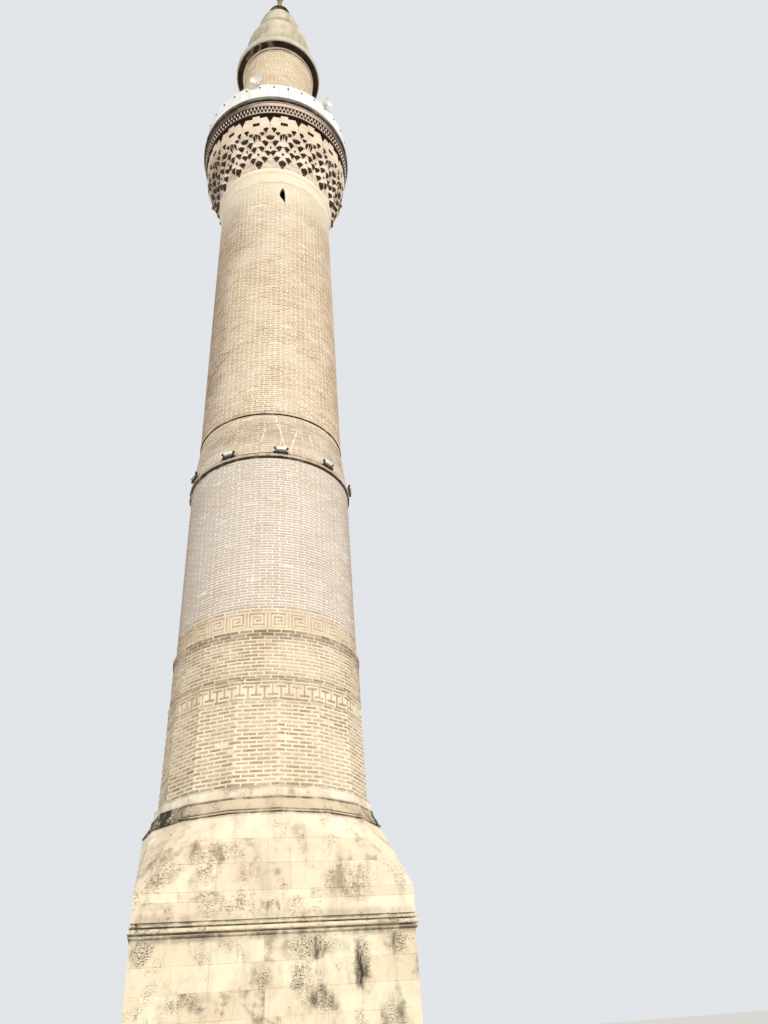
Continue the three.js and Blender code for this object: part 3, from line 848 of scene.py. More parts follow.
# Lamp ledge, tapered band and thin ledge: a projecting course, a band that leans in, and a thinner course.
# Old cracks in the tapered band are filled with pale lime, and its middle is browner than the shaft.
# The two thin black bands at 12.35 and 13.69 are painted shade on the undersides of the lamp ledge and the
# thin ledge.
band_soot_and_shade = [
    (12.85, 13.4, 0.2, 0.24), (12.35, 12.358, 0.004, 3.0), (12.36, 12.44, 0.01, 0.3),
    (13.685, 13.712, 0.006, 3.0),
]
band_patches = [(-1.3, 13.12, 0.36, 0.22, 0.3), (-0.16, 13.15, 0.22, 0.25, 0.18)]
band_brick = brickwork(
    "band_brick", (0.72, 0.58, 0.43), (0.58, 0.45, 0.33), (0.42, 0.31, 0.22), band_soot_and_shade, band_patches,
)
band_lime = lime_bed("band_lime", (0.9, 0.82, 0.66), (0.78, 0.68, 0.52), band_soot_and_shade, band_patches)


def add_ledge(name, count):
    low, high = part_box(name)
    reach = -low.y
    bed_outline = [(-0.014, 0.0), (-0.014, high.z - low.z)]
    add_turned(
        f"{name}_bed", bed_outline, 90, band_lime, [name], (reach, low.z), bore=1.5, smooth=30.0,
    )
    bricks = bmesh.new()
    joint = 0.012
    lay_round_course(
        bricks, reach + 0.002, (low.z + high.z) / 2.0, high.z - low.z - joint, count, 0.0, joint, depth=0.1,
    )
    add_piece(f"{name}_bricks", bricks, band_brick, [name])


add_ledge("lamp_ledge", 90)
taper_low, taper_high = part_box("tapered_band")
taper_foot_radius = 1.872
taper_head_radius = 1.722
taper_wall = bmesh.new()
lay_wall(
    taper_wall, taper_low.z, taper_high.z, (taper_foot_radius, taper_head_radius), shaft_course, count=44,
    brick_height=0.039, joint=0.022,
)
add_piece("tapered_band_bricks", taper_wall, band_brick)
paint_nodes(["tapered_band"], band_lime)
add_ledge("thin_ledge", 84)
crack_paths = [
    [(-3.6, 13.62), (-2.2, 13.36), (-0.6, 13.2), (0.8, 13.0), (2.4, 12.76), (3.2, 12.6)],
    [(11.6, 13.16), (10.4, 13.0), (9.1, 12.85), (7.7, 12.7), (7.1, 12.54)],
    [(-10.9, 13.22), (-12.1, 13.05), (-13.2, 12.9), (-14.1, 12.77)],
    [(22.4, 13.22), (24.0, 13.05), (25.1, 12.93)],
]
taper = (taper_foot_radius - taper_head_radius) / (taper_high.z - taper_low.z)
filling_bm = start_course()
for path in crack_paths:
    for (azimuth, z), (next_azimuth, next_z) in zip(path[:-1], path[1:]):
        middle_z = (z + next_z) / 2.0
        radius = taper_foot_radius - taper * (middle_z - taper_low.z) + 0.012
        across = math.radians(next_azimuth - azimuth) * radius
        lay_brick(
            filling_bm, math.radians((azimuth + next_azimuth) / 2.0), 0.0, radius, middle_z, 0.026,
            math.hypot(across, next_z - z) + 0.016, math.atan2(across, next_z - z), 0.022,
        )
crack_lime = lime_bed("crack_lime", (0.95, 0.9, 0.76), (0.86, 0.78, 0.62))
add_piece("crack_fillings", filling_bm, crack_lime)

# Upper shaft: the same brickwork, thinning upwards to the balcony, with a slit window near its top.
# Bricks beside the slit are cut to its edges.
upper_soot = [(13.78, 13.8, 0.02, 0.4)]
# The patches down the left side are painted shade on the side turned from the light.
upper_patches = [(-1.58, 17.5, 0.26, 5.0, 0.26), (-1.3, 20.8, 0.35, 1.6, 0.15)]
upper_brick = brickwork(
    "upper_brick", (0.72, 0.57, 0.41), (0.57, 0.42, 0.29), (0.42, 0.29, 0.19), upper_soot, upper_patches,
    [(22.4, 23.4, 1.1, 1.0, (0.87, 0.78, 0.6))],
)
upper_low, upper_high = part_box("upper_shaft_front")
slit_azimuth = 0.0
slit = (slit_azimuth, 0.086, 21.85, 22.49)
upper_wall = start_course()
lay_wall(
    upper_wall, upper_low.z, upper_high.z, (1.738, 1.647), shaft_course, count=41, brick_height=0.036,
    opening=slit,
)
slit_edges = [
    (21.87, 0.04, 0.078), (21.93, 0.016, 0.083), (21.99, -0.018, 0.084), (22.05, -0.056, 0.084),
    (22.12, -0.074, 0.082), (22.19, -0.08, 0.08), (22.26, -0.075, 0.077), (22.33, -0.064, 0.072),
    (22.4, -0.046, 0.064), (22.46, -0.026, 0.044),
]
cut_reach = 0.1
for z, left_edge, right_edge in slit_edges:
    for begin, end in ((-cut_reach, left_edge), (right_edge, cut_reach)):
        lay_brick(
            upper_wall, slit_azimuth, (begin + end) / 2.0, 1.6605, z, end - begin, shaft_course, depth=0.07,
        )
add_piece("upper_shaft_bricks", upper_wall, upper_brick)
upper_lime = lime_bed(
    "upper_lime", (0.9, 0.82, 0.64), (0.82, 0.72, 0.53), upper_soot, upper_patches, 0.8, 1.6,
)
paint_nodes([f"upper_shaft_{side}" for side in quarters], upper_lime)

# Neck under the stalactites: a coat of cream plaster over the last courses and the swelling above them.
# It is worn away along its lower edge.
neck_plaster = lime_bed("neck_plaster", (0.88, 0.79, 0.61), (0.82, 0.72, 0.54), [(23.13, 23.15, 0.015, 0.3)])
neck_bm = bmesh.new()
neck_outline = [
    (1.65, 22.77), (1.6585, 22.8), (1.664, 22.87), (1.676, 22.96), (1.694, 23.08), (1.722, 23.2),
    (1.7615, 23.285),
]
turn_profile(neck_bm, neck_outline, 180, closed=False)
point_outwards(neck_bm)
worn_edge_top = 22.82
for vert in neck_bm.verts:
    if vert.co.z < worn_edge_top:
        azimuth = azimuth_of(vert.co)
        wave = math.sin(azimuth * 5.0) + math.sin(azimuth * 13.0 + 1.0) + math.sin(azimuth * 31.0 + 2.0)
        vert.co.z += 0.018 * wave
thicken(add_piece("neck_coat", neck_bm, neck_plaster, (), 40.0), 0.008)

# Stalactites under the balcony: sixteen bays of cut brick that lean out, with rows of small open niches.
# The bays end in flat stepped panels with a gap between neighbours; the bricks' faces inside the niches are
# painted dark, as shade.
# The band at the panels' top is painted shade under the dentil band, the patch darkens the stalactites' far
# left, and the inside colour is painted shade on the niches' inner faces.
cut_brick = brickwork(
    "cut_brick", (0.86, 0.72, 0.55), (0.72, 0.57, 0.42), (0.6, 0.45, 0.33),
    [(25.28, 25.3, 0.01, 0.3)], [(-2.12, 23.95, 0.42, 0.95, 0.55)], (), (0.15, 0.095, 0.057),
)
painted_shade_tone = 2.0
cell_shadow = limestone(
    "cell_shadow", (0.055, 0.036, 0.022), (0.04, 0.026, 0.016), (0.03, 0.02, 0.013), (0.02, 0.014, 0.01),
)
bays = 16
bay = 360.0 / bays
bay_turn = math.radians(-0.9)
corbel_low, corbel_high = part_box("stalactite_corbels")
# Tiers from the bottom up, as (height, radius, degrees from the bay's middle at which a prow stands out)
tiers = [
    (23.28, 1.762, ()), (23.55, 1.815, (0.0,)), (23.7, 1.855, (5.6,)), (23.94, 1.92, (8.7,)),
    (24.06, 1.955, (3.4,)), (24.27, 2.025, (6.8,)), (24.43, 2.115, (0.0, 11.25)), (24.56, 2.158, ()),
]
panel_tier = len(tiers) - 1
cell_depth = 0.15
panel_lean_out = 0.11
core_outline = [(1.63, corbel_low.z), (1.63, tiers[0][0])]
core_outline += [(radius - cell_depth, z) for z, radius, prows in tiers[1:]]
core_outline += [(2.09, 24.9), (2.12, corbel_high.z)]
add_turned(
    "stalactite_core", core_outline, 64, cell_shadow, ["stalactite_corbels"],
    bore=1.4, smooth=None,
)

# Niches as (degrees from the bay's middle, bottom, top, half widths in degrees from the bottom up)
niches = [
    (0.0, 23.32, 23.55, (1.3, 2.4, 3.4, 3.6)), (5.8, 23.365, 23.375, (2.0,)),
    (5.6, 23.54, 23.71, (0.6, 1.5, 2.4, 2.6)), (11.25, 23.545, 23.557, (3.4,)),
    (11.25, 23.615, 23.63, (3.4,)), (0.0, 23.76, 23.86, (0.5, 1.0, 1.1)),
    (8.7, 23.78, 23.95, (0.5, 1.3, 2.2, 2.4)), (3.5, 23.91, 24.07, (0.5, 1.3, 2.1, 2.3)),
    (11.25, 24.07, 24.16, (0.5, 0.9)), (6.8, 24.11, 24.28, (0.5, 1.3, 2.2, 2.4)),
    (0.0, 24.31, 24.43, (0.4, 0.8)), (2.2, 24.28, 24.43, (0.5, 1.1, 1.0)),
    (11.25, 24.355, 24.44, (3.1, 3.4)), (4.7, 24.45, 24.54, (0.9, 2.0, 1.7)),
    (8.0, 24.52, 24.7, (0.8, 1.7, 2.3, 1.6)), (0.0, 24.845, 24.98, (2.9,)), (11.25, 24.62, 24.92, (0.12,)),
    (11.25, 24.92, 25.18, (0.6, 1.2, 1.8, 2.4)), (11.25, 25.18, 25.28, (8.35,)), (0.0, 25.28, 25.3, (bay,)),
]
backed_below = 24.28
openings = []
for middle, bottom, top, halves in niches:
    step = (top - bottom) / len(halves)
    middles = {0.0: (0.0,), bay / 2.0: (bay / 2.0, -bay / 2.0)}.get(middle, (middle, -middle))
    for row, half in enumerate(halves):
        low, high = (round(bottom + step * edge, 3) for edge in (row, row + 1))
        back = row / len(halves) if top < backed_below else 0.0
        openings += [(left - half, left + half, low, high, back) for left in middles]
levels = sorted({tier[0] for tier in tiers} | {z for opening in openings for z in opening[2:4]})
prow_depth = 0.07
prow_half = 4.5
hood = 0.055
bay_fold = 0.09
bay_bm = start_course()


def nearest_prow(degrees, prows):
    """0 on a prow's middle, 1 from its edge on."""
    return min([abs(abs(degrees) - prow) for prow in prows] + [prow_half]) / prow_half


def panel_front(degrees, z):
    return (tiers[-1][1] + panel_lean_out * (z - tiers[-1][0])) / math.cos(math.radians(degrees))


def tier_edge(number, degrees):
    """How far a tier's edge is from the axis: it stands out in a prow over each niche below it."""
    z, radius, prows = tiers[number]
    if number == panel_tier:
        return panel_front(degrees, z)
    fold = bay_fold * min(1.0, (z - tiers[0][0]) / 0.4) * (0.5 - abs(degrees) / bay * 2.0)
    return radius + fold + prow_depth * (0.5 - nearest_prow(degrees, prows))


def bay_front(degrees, z, number):
    if number == panel_tier:
        return panel_front(degrees, z)
    share = (z - tiers[number][0]) / (tiers[number + 1][0] - tiers[number][0])
    upper = tier_edge(number + 1, degrees) - hood * (1.0 - nearest_prow(degrees, tiers[number + 1][2]))
    return tier_edge(number, degrees) * (1.0 - share) + upper * share


def cut_block(left, right, bottom, top, number, shade, set_back=0.0):
    """A cut brick between two azimuths in degrees; its front is part of the bay's face, or a niche's back."""
    corners = bmesh.ops.create_cube(bay_bm, size=1.0)["verts"]
    faces = joined(corners, "link_faces")
    shown = min(faces, key=lambda face: face.calc_center_median().y)
    for corner in corners:
        degrees = left if corner.co.x < 0.0 else right
        z = bottom if corner.co.z < 0.0 else top
        if corner.co.y < 0.0:
            distance = bay_front(degrees, z, number) - set_back
        else:
            distance = bay_front(degrees, bottom, number) - cell_depth - 0.03
        corner.co = front(math.radians(degrees)) * distance + up(z)
    # Every face but the front takes the painted shade tone, unless the block is a niche's back.
    tint(bay_bm, faces, shade if set_back else painted_shade_tone)
    tint(bay_bm, [shown], shade)


def lay_stones(left, right, bottom, top, number):
    """Fills a stretch of one level with stones that break at its prows."""
    breaks = {0.0}
    if number != panel_tier:
        prows = {side * prow for tier in tiers[number:number + 2] for prow in tier[2] for side in (-1.0, 1.0)}
        breaks |= {prow + side * prow_half for prow in prows for side in (-1.0, 0.0, 1.0)}
    ends = [left] + [degrees for degrees in sorted(breaks) if left + 0.2 < degrees < right - 0.2] + [right]
    for begin, end in zip(ends[:-1], ends[1:]):
        stone = (number, begin < 0.0, abs(begin + end) > bay / 2.0)
        cut_block(begin, end, bottom, top, number, shades.setdefault(stone, draw.uniform(0.0, 0.9)))


def repeat_round(bm, count):
    spin(bm, whole(bm), count - 1, math.tau * (count - 1) / count, use_duplicate=True)


shades = {}
for bottom, top in zip(levels[:-1], levels[1:]):
    middle_z = (bottom + top) / 2.0
    tier_number = sum(1 for tier in tiers if tier[0] < middle_z) - 1
    edge = -bay / 2.0
    for left, right, low, high, back in sorted(place for place in openings if place[2] < middle_z < place[3]):
        if left - edge > 0.1:
            lay_stones(edge, left, bottom, top, tier_number)
        # A niche's back takes a tone of 1.5 to 1.85: painted shade, darker on the deeper, lower backs.
        if back:
            set_back = cell_depth * (1.0 - 0.55 * back)
            cut_block(left, right, bottom, top, tier_number, 1.85 - 0.35 * back, set_back)
        edge = max(edge, right)
    if bay / 2.0 - edge > 0.1:
        lay_stones(edge, bay / 2.0, bottom, top, tier_number)
repeat_round(bay_bm, bays)
bmesh.ops.transform(bay_bm, verts=bay_bm.verts[:], matrix=turned(bay_turn))
bmesh.ops.recalc_face_normals(bay_bm, faces=bay_bm.faces[:])
add_piece("stalactite_bricks", bay_bm, cut_brick, ["stalactite_corbels"])

# Dentil band: two rows of small bricks set cornerwise like saw teeth, between thin rings, under plain rings.
# It carries the balcony's slab; the recess behind the teeth is painted near black, as shade.
# The band just under the slab and the patches at both sides darken the rings, partly as soot and partly as
# painted shade.
ring_brick = brickwork(
    "ring_brick", (0.67, 0.52, 0.42), (0.56, 0.42, 0.33), (0.4, 0.28, 0.21), [(25.812, 25.86, 0.008, 1.1)],
    [(-1.95, 25.62, 1.3, 0.48, 1.5), (2.05, 25.62, 1.1, 0.46, 1.4)],
)
tooth_brick = brickwork(
    "tooth_brick", (0.78, 0.64, 0.54), (0.62, 0.48, 0.39), (0.46, 0.34, 0.27), [(25.4, 25.42, 0.01, 0.3)],
)
dentil_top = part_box("dentil_band")[1].z
add_turned("dentil_recess", [
    (1.9, 25.29), (2.12, 25.3), (2.16, 25.362), (2.264, 25.37), (2.264, 25.395), (2.19, 25.412),
    (2.19, 25.5), (2.29, 25.512), (2.29, 25.53), (2.215, 25.547), (2.215, 25.64), (2.322, 25.652),
    (2.322, dentil_top), (1.9, dentil_top),
], 96, cell_shadow, ["dentil_band"], smooth=30.0)
ring_bm = bmesh.new()
for inner, outer, bottom, top in (
    (2.16, 2.285, 25.374, 25.408), (2.16, 2.308, 25.514, 25.536), (2.16, 2.344, 25.653, 25.792),
    (2.2, 2.36, 25.812, dentil_top),
):
    ring = [(inner, bottom), (outer - 0.006, bottom), (outer, bottom + 0.008), (outer, top), (inner, top)]
    turn_profile(ring_bm, ring, 96)
add_piece("dentil_rings", ring_bm, ring_brick, ["dentil_band"], 30.0)
teeth = 126
tooth_width = 0.034
teeth_bm = start_course()
for bottom, top, radius, turn in ((25.408, 25.514, 2.272, 0.0), (25.536, 25.653, 2.302, 0.5)):
    for number in range(teeth):
        where = turned(math.tau / teeth * (number + turn)) @ moved(0.0, -radius, (bottom + top) / 2.0)
        where = where @ turned(math.pi / 4) @ sized(tooth_width, tooth_width, top - bottom)
        corners = bmesh.ops.create_cube(teeth_bm, size=1.0, matrix=where)["verts"]
        tint(teeth_bm, joined(corners, "link_faces"), draw.uniform(0.0, 0.8))
add_piece("dentil_teeth", teeth_bm, tooth_brick, ["dentil_band"])

# Balcony slab: dark stone, thick and plain, its edge rounded under a thin lip.
# It is blackened and streaked with grey where rain runs off it.
dark_stone = limestone(
    "dark_stone", (0.25, 0.23, 0.19), (0.09, 0.072, 0.055), (0.22, 0.2, 0.17), (0.022, 0.016, 0.012),
    [(25.84, 25.905, 0.03, 1.4)], [(-1.9, 25.95, 1.0, 0.12, 0.8)], 0.95,
)
slab_low, slab_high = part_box("balcony_slab")
slab_radius = -slab_low.y
slab_height = slab_high.z - slab_low.z
slab_outline = [
    (-0.06, 0.0), (-0.06, 0.046), (-0.018, 0.056), *arc(-0.02, 0.078, 0.018, -75, 60), (-0.016, 0.104),
    (-0.002, 0.114), (0.0, slab_height - 0.02), (-0.02, slab_height),
]
add_turned(
    "balcony_slab_stone", slab_outline, 96, dark_stone, ["balcony_slab"],
    (slab_radius, slab_low.z), bore=0.8, smooth=30.0,
)

# Parapet: forty-eight flat white marble panels set edge to edge round the balcony, not all quite in line.
# Small iron sockets near the top show where a lamp chain was once hooked.
marble = Paint("white_marble", 0.55, (0.86, 0.85, 0.81))
veins = marble.noise(0.5, 6.0, 0.6, 0.4)
marble.coat(marble.ramp(marble.tone(), 0.3, 1.0, 0.0, 0.8), (0.79, 0.78, 0.73))
marble.coat(marble.ramp(veins, 0.52, 0.68, 0.0, 0.55), (0.68, 0.66, 0.6))
white_marble = marble.finish((veins, 0.004, 0.3), (marble.noise(0.02, 3.0), 0.001, 0.4))
panels = 48
first_panel = 0.75
parapet_low, parapet_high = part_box("parapet_front")
panel_foot_radius = -parapet_low.y
panel_head_radius = 2.33
panel_radius = (panel_foot_radius + panel_head_radius) / 2.0
panel_height = parapet_high.z - parapet_low.z
panel_thickness = 0.1
panel_joint = 0.007
panel_uneven = 0.012
panel_width = 2.0 * panel_radius * math.sin(math.pi / panels) - panel_joint
panel_lean = math.atan2(panel_foot_radius - panel_head_radius, panel_height)


def add_eased_block(bm, where, eased, shade=None):
    """A block with bevelled edges; a shade gives it a tone of its own."""
    corners = bmesh.ops.create_cube(bm, size=1.0, matrix=where)["verts"]
    edges = list(joined(corners, "link_edges"))
    if shade is not None:
        tint(bm, joined(corners, "link_faces"), shade)
    bmesh.ops.bevel(bm, geom=edges, offset=eased, affect="EDGES", segments=1, profile=0.5, material=-1)


panel_bm = start_course()
for number in range(panels):
    set_back = panel_thickness / 2.0 + draw.uniform(0.0, panel_uneven)
    where = turned(math.tau / panels * (number + first_panel))
    where = where @ moved(0.0, set_back - panel_radius, parapet_low.z + panel_height / 2.0)
    where = where @ turned(math.radians(draw.gauss(0.0, 1.0))) @ turned(-panel_lean, "X")
    where = where @ sized(panel_width, panel_thickness, panel_height - draw.uniform(0.0, panel_uneven))
    add_eased_block(panel_bm, where, 0.006, draw.random())
panel_nodes = [f"parapet_{side}" for side in quarters]
add_piece("parapet_panels", panel_bm, white_marble, panel_nodes)


def mottled(name, roughness, metallic, grain, change, clean, dull, bump):
    """Metal or paint, dull in patches; change is where in the noise it begins to dull and is fully dull."""
    paint = Paint(name, roughness, clean, metallic)
    patches = paint.noise(*grain)
    paint.coat(paint.ramp(patches, *change), dull)
    return paint.finish((patches, *bump))


iron = mottled(
    "dark_iron", 0.7, 0.6, (0.03, 4.0), (0.4, 0.6), (0.05, 0.045, 0.04), (0.12, 0.07, 0.04), (0.002, 0.5),
)
sockets = 33
first_socket = 0.14
socket_proud = 0.008
socket_drop = 0.2
socket_bm = bmesh.new()
for number in range(sockets):
    where = turned(math.tau / sockets * (number + first_socket))
    where = where @ moved(0.0, -panel_head_radius - socket_proud, parapet_high.z - socket_drop)
    where = where @ turned(math.pi / 2, "X")
    bmesh.ops.create_cone(
        socket_bm, cap_ends=True, segments=10, radius1=0.02, radius2=0.028, depth=0.04, matrix=where,
    )
add_piece("parapet_sockets", socket_bm, iron)

# Upper drum: fine pale brickwork, with the balcony's doorway in the rear.
# The bricks stop at the doorway, which has a plain stone surround.
# The dark line just under the drum's moulding is painted shadow.
top_painted_shadow = [(31.112, 31.132, 0.01, 2.0)]
top_brick = brickwork("top_brick", (0.8, 0.65, 0.46), (0.67, 0.52, 0.36), (0.54, 0.39, 0.27), top_painted_shadow)
top_lime = lime_bed("top_lime", (0.92, 0.83, 0.63), (0.82, 0.71, 0.52), top_painted_shadow)
top_low, top_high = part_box("upper_drum_front")
top_radius = -top_low.y
door_half = 0.32
door_crown = slab_high.z + 1.72
top_wall = bmesh.new()
balcony_door = (math.pi, door_half + 0.05, slab_high.z, door_crown + 0.06)
lay_wall(
    top_wall, top_low.z, top_high.z, (top_radius, top_radius), course_height=0.0638, count=30,
    brick_height=0.038, joint=0.03, opening=balcony_door, wander=0.5,
)
add_piece("upper_drum_bricks", top_wall, top_brick)
drum_parts = ("front", "right", "left", "rear_left", "rear_right", "door_arch")
paint_nodes([f"upper_drum_{part}" for part in drum_parts], top_lime)
add_surround(
    "balcony_door_surround", door_half, slab_high.z, slab_high.z + 1.5, door_crown, top_radius + 0.012,
    0.11, 0.09, white_stone,
)

# Moulding and eaves over the upper drum: two thin cut stone rolls, a plastered soffit, and a stone rim.
# The soffit is painted nearly black, as the shade under the eaves, and scraps of its plaster are left.
rim_stone = limestone(
    "rim_stone", (0.66, 0.6, 0.51), (0.52, 0.45, 0.35), (0.36, 0.31, 0.25), (0.1, 0.07, 0.05),
)
# Its dark band is painted shade in the hollow between the two rolls.
roll_stone = limestone(
    "roll_stone", (0.84, 0.7, 0.57), (0.74, 0.6, 0.47), (0.6, 0.49, 0.39), (0.06, 0.04, 0.025),
    [(31.195, 31.232, 0.004, 1.6)],
)
moulding_low, moulding_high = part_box("drum_moulding")
drum_roll_outline = [
    (0.01, 0.0), *arc(0.004, 0.03, 0.022, -75, 75), (-0.002, 0.064), (-0.002, 0.096), (0.03, 0.106),
    *arc(0.022, 0.15, 0.034, -60, 60), (0.036, 0.188), (0.036, moulding_high.z - moulding_low.z),
]
add_turned(
    "drum_roll", drum_roll_outline, 96, roll_stone, ["drum_moulding"],
    (top_radius, moulding_low.z), bore=0.8,
)
eaves_low, eaves_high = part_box("eaves")
eaves_height = eaves_high.z - eaves_low.z
eaves_edge = (-eaves_low.y, eaves_low.z)
rim_inside = 1.05 - eaves_edge[0]
rim_outline = [
    (-0.04, 0.0), (-0.012, 0.0), *arc(-0.014, 0.016, 0.014, -60, 0, 4), (0.0, eaves_height - 0.07),
    *arc(-0.04, eaves_height - 0.045, 0.04, 0, 80, 5), (rim_inside, eaves_height + 0.004),
    (rim_inside, 0.1), (-0.04, 0.1),
]
add_turned("eaves_rim", rim_outline, 96, rim_stone, ["eaves"], eaves_edge)
# Its near-black colour is painted shade under the eaves.
soffit = Paint("soffit_plaster", 0.95, (0.022, 0.014, 0.009))
soffit.coat(soffit.ramp(soffit.noise(0.3, 7.0, 0.66), 0.42, 0.62), (0.06, 0.036, 0.02))
scraps = soffit.spots([
    (-1.14, 31.35, 0.08, 0.5, 0.6), (-0.82, 31.35, 0.07, 0.5, 0.8), (-0.46, 31.35, 0.11, 0.5, 0.6),
])
soffit.coat(scraps, (0.34, 0.23, 0.165))
soffit_plaster = soffit.finish((scraps, 0.01, 0.6))
soffit_inside = 0.8 - eaves_edge[0]
soffit_outline = [(soffit_inside, 0.0), (-0.036, 0.002), (-0.036, 0.12), (soffit_inside, 0.12)]
add_turned("eaves_soffit", soffit_outline, 96, soffit_plaster, ["eaves"], eaves_edge)

# Cap: two stone bulbs one above the other, cut smooth, under a small turned collar.
# Rain has left soft grey-green streaks down it, and it is darker where one part shades the next.
cap = Paint("cap_stone", 0.9, (0.575, 0.505, 0.36))
wash = cap.noise(0.8, 5.0, 0.55)
cap.coat(cap.ramp(cap.noise(0.42, 6.0, 0.6, 0.16), 0.42, 0.64, 0.0, 0.85), (0.3, 0.27, 0.19))
cap.coat(cap.ramp(wash, 0.46, 0.62, 0.0, 0.8), (0.7, 0.6, 0.46))
shaded = cap.most(cap.level(34.44, 34.5, 0.22), cap.level(31.6, 31.9, 0.45))
cap.coat(cap.times(shaded, 0.55), (0.27, 0.235, 0.155))
cap_stone = cap.finish((wash, 0.02, 0.3), (cap.noise(0.02, 4.0), 0.002, 0.5))
cap_outline = [
    (1.1, 31.66), (1.106, 31.76), (1.12, 31.9), (1.135, 32.0), (1.152, 32.1), (1.17, 32.2), (1.188, 32.3),
    (1.204, 32.4), (1.218, 32.5), (1.229, 32.6), (1.236, 32.7), (1.239, 32.8), (1.236, 32.92),
    (1.226, 33.02), (1.204, 33.2), (1.187, 33.34), (1.166, 33.46), (1.143, 33.58), (1.115, 33.68),
    (1.075, 33.8), (1.03, 33.9), (0.935, 34.1), (0.85, 34.26), (0.8, 34.34), (0.782, 34.39), (0.782, 34.42),
    (0.796, 34.5), (0.806, 34.6), (0.808, 34.72), (0.804, 34.85), (0.792, 35.02), (0.77, 35.18),
    (0.732, 35.34), (0.678, 35.5), (0.602, 35.68), (0.515, 35.85), (0.44, 36.0), (0.38, 36.12),
    (0.335, 36.21), (0.3, 36.3),
]
cap_nodes = ["cap_lower_bulb", "cap_upper_bulb"]
add_turned("cap_bulbs", cap_outline, 96, cap_stone, cap_nodes, bore=0.0, smooth=40.0)
collar_low, collar_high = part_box("cap_collar")
collar_radius = -collar_low.y
collar_stone = limestone(
    "collar_stone", (0.34, 0.25, 0.18), (0.24, 0.17, 0.12), (0.2, 0.16, 0.12), (0.03, 0.02, 0.014),
    [(36.28, 36.362, 0.006, 1.4)],
)
collar_outline = [
    (0.262, 0.0), (0.3, 0.03), (collar_radius - 0.03, 0.056),
    *arc(collar_radius - 0.018, 0.084, 0.018, -80, 80), (collar_radius - 0.05, 0.12), (0.21, 0.142),
    (0.17, collar_high.z - collar_low.z),
]
add_turned(
    "collar_stone", collar_outline, 64, collar_stone, ["cap_collar"],
    (0.0, collar_low.z), bore=0.0,
)

# Finial: a spun brass stem with beads and knobs, and a crescent open to the sky, dulled by the weather.
# It is socketed in the collar.
brass = mottled(
    "weathered_brass", 0.45, 0.75, (0.08, 6.0), (0.42, 0.6), (0.42, 0.33, 0.19), (0.2, 0.19, 0.13),
    (0.002, 0.4),
)
finial_foot = collar_high.z
stem_outline = [
    (0.0, 0.0), (0.158, 0.0), (0.118, 0.03), (0.084, 0.08), (0.062, 0.16), (0.05, 0.26), (0.044, 0.9),
    *arc(0.04, 1.01, 0.046, -75, 75), (0.046, 1.085), (0.046, 1.11), *arc(0.036, 1.18, 0.04, -75, 75),
    (0.046, 1.25), (0.07, 1.275), *arc(0.02, 1.42, 0.13, -65, 65, 13), (0.052, 1.56), (0.04, 1.585),
    (0.038, 1.64), *arc(0.04, 1.71, 0.04, -65, 65), (0.03, 1.78), (0.022, 1.89), (0.0, 1.895),
]
stem_bm = bmesh.new()
turn_profile(stem_bm, [(radius, finial_foot + z) for radius, z in stem_outline], 40, closed=False)
stem_verts = set(stem_bm.verts)
crescent_drop = 0.22
crescent_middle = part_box("finial")[1].z - crescent_drop
crescent_radius = 0.215
crescent_thickness = 0.022
thinnest_share = 0.12
horn = math.radians(62.0)
crescent_sweep = math.pi + 2.0 * horn
tube_start = moved(0.0, 0.0, crescent_middle) @ turned(-horn, "Y") @ moved(crescent_radius, 0.0, 0.0)
tube = bmesh.ops.create_circle(
    stem_bm, cap_ends=False, segments=10, radius=crescent_thickness, matrix=tube_start,
)["verts"]
bmesh.ops.spin(
    stem_bm, geom=[*tube, *joined(tube, "link_edges")], cent=(0.0, 0.0, crescent_middle),
    axis=(0.0, 1.0, 0.0), angle=crescent_sweep, steps=32,
)
for vert in stem_bm.verts:
    if vert not in stem_verts:
        around = math.atan2(vert.co.x, crescent_middle - vert.co.z)
        middle = Vector((math.sin(around), 0.0, -math.cos(around))) * crescent_radius
        middle.z += crescent_middle
        share = max(thinnest_share, math.cos(around / crescent_sweep * math.pi))
        vert.co = middle + (vert.co - middle) * share
bmesh.ops.holes_fill(stem_bm, edges=stem_bm.edges[:], sides=10)
bmesh.ops.recalc_face_normals(stem_bm, faces=stem_bm.faces[:])
add_piece("finial_stem", stem_bm, brass, ["finial"], 40.0)

# Floodlights: ten grey lamps on brackets over the lower ledge, aimed up the shaft, and their conduit.
# Each has a flat ribbed head in a U-shaped bracket with knobs at its ends, and stands on the ledge.
lamp_grey = mottled(
    "lamp_grey", 0.5, 0.2, (0.1, 5.0), (0.45, 0.65), (0.88, 0.88, 0.86), (0.64, 0.62, 0.58), (0.001, 0.4),
)
bracket_black = mottled(
    "bracket_black", 0.6, 0.3, (0.08, 5.0), (0.45, 0.65), (0.045, 0.042, 0.04), (0.1, 0.075, 0.05),
    (0.001, 0.5),
)
lamp_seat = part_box("lamp_ledge")[1].z + 0.0005
lamps = 10
wall_radius = 1.8725


def add_box(bm, middle, size, tilt=0.0, eased=0.004):
    add_eased_block(bm, moved(*middle) @ turned(tilt, "X") @ sized(*size), eased)


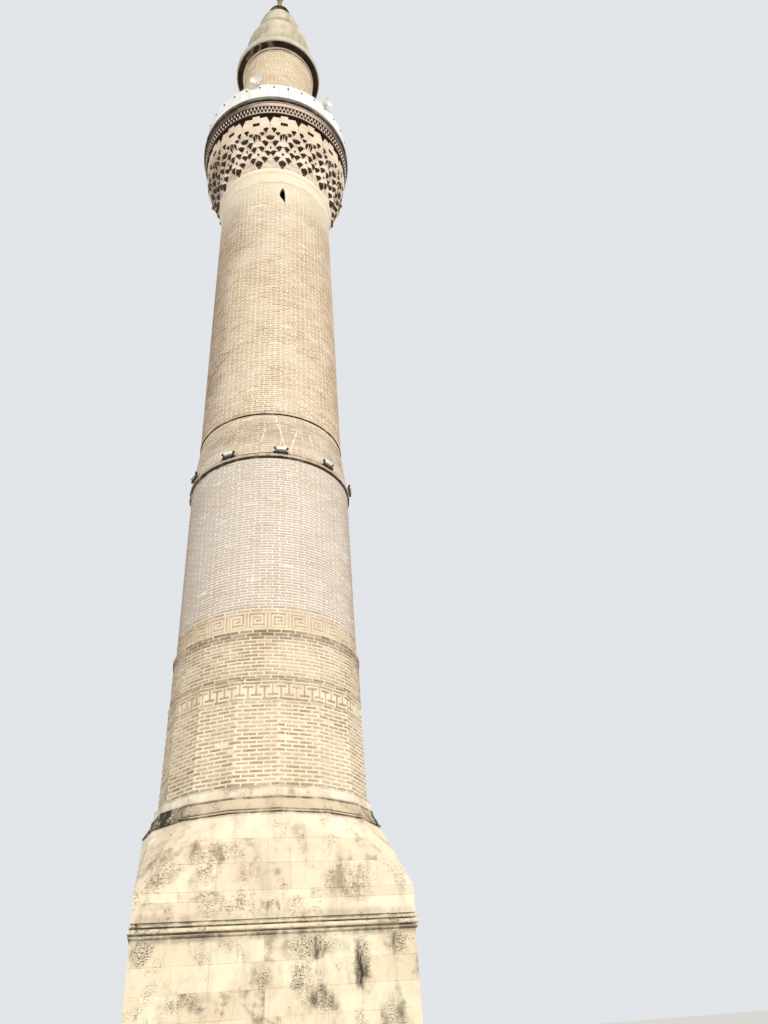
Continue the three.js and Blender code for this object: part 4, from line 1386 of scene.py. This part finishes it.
lamp_tilt = math.radians(-8.0)
lamp_middle = Vector((0.0, -wall_radius - 0.062, lamp_seat + 0.09))
head_size = (0.206, 0.094, 0.082)
ribs = 6
rib_step = 0.032
rib_size = (0.006, 0.01, 0.06)
head_bm = bmesh.new()
add_box(head_bm, lamp_middle + up(0.008), head_size, lamp_tilt, 0.014)
for rib in range(ribs):
    across = (rib - (ribs - 1) / 2.0) * rib_step
    before = turned(lamp_tilt, "X") @ Vector((across, -head_size[1] / 2.0, 0.004))
    add_box(head_bm, lamp_middle + before, rib_size, lamp_tilt, 0.001)
repeat_round(head_bm, lamps)
add_piece("floodlight_heads", head_bm, lamp_grey, ["floodlights"])
foot_size = (0.33, 0.07, 0.028)
arm_size = (0.02, 0.05, 0.108)
knob_size = (0.04, 0.052, 0.046)
bracket_bm = bmesh.new()
add_box(bracket_bm, (0.0, -wall_radius - 0.047, lamp_seat + 0.015), foot_size)
for side in (-1.0, 1.0):
    add_box(bracket_bm, (side * 0.122, -wall_radius - 0.058, lamp_seat + 0.056), arm_size)
    knob_middle = lamp_middle + Vector((side * 0.145, -0.01, 0.026))
    add_box(bracket_bm, knob_middle, knob_size, lamp_tilt, 0.01)
repeat_round(bracket_bm, lamps)
conduit_radius = 0.0135
conduit_clear = 0.014
conduit_start = moved(0.0, -wall_radius - conduit_clear, lamp_seat + conduit_clear) @ turned(math.pi / 2, "Y")
conduit = bmesh.ops.create_circle(
    bracket_bm, cap_ends=False, segments=8, radius=conduit_radius, matrix=conduit_start,
)["verts"]
spin(bracket_bm, [*conduit, *joined(conduit, "link_edges")], 96, use_merge=True)
bmesh.ops.recalc_face_normals(bracket_bm, faces=bracket_bm.faces[:])
add_piece("floodlight_brackets", bracket_bm, bracket_black, ["floodlights"])

# Loudspeakers: two white horns with rolled rims, on short posts that stand on the parapet.
# Each has its driver in a round box behind the horn.
horn_white = mottled(
    "horn_white", 0.45, 0.0, (0.1, 5.0), (0.5, 0.7), (0.93, 0.93, 0.9), (0.74, 0.7, 0.62), (0.001, 0.3),
)
post_radius = panel_head_radius - 0.0525
post_size = (0.03, 0.03, 0.078)
plate_size = (0.09, 0.06, 0.012)
horn_behind = 0.11
horn_rise = 0.1
mouth_radius = 0.19
horn_outline = [
    (0.0, 0.0), (0.055, 0.0), (0.062, 0.008), (0.062, 0.105), (0.068, 0.125), (0.08, 0.15), (0.098, 0.185),
    (0.122, 0.225), (0.152, 0.262), (0.178, 0.288), *arc(mouth_radius - 0.007, 0.306, 0.007, -60, 180, 8),
    (0.15, 0.276), (0.11, 0.235), (0.08, 0.2), (0.055, 0.182), (0.0, 0.172),
]
for name, azimuth in (("loudspeaker_right", 34.7), ("loudspeaker_left", -23.0)):
    horn_bm = bmesh.new()
    turn_profile(horn_bm, horn_outline, 40, closed=False)
    lying = moved(0.0, horn_behind - post_radius, parapet_high.z + horn_rise) @ turned(math.pi / 2, "X")
    bmesh.ops.transform(horn_bm, verts=horn_bm.verts[:], matrix=lying)
    add_box(horn_bm, (0.0, -post_radius, parapet_high.z + 0.04), post_size)
    add_box(horn_bm, (0.0, -post_radius, parapet_high.z + 0.0065), plate_size, eased=0.002)
    bmesh.ops.transform(horn_bm, verts=horn_bm.verts[:], matrix=turned(math.radians(azimuth)))
    add_piece(f"{name}_horn", horn_bm, horn_white, [name], 35.0)

bpy.data.meshes.remove(course_mesh)
bpy.context.view_layer.update()
low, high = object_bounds()
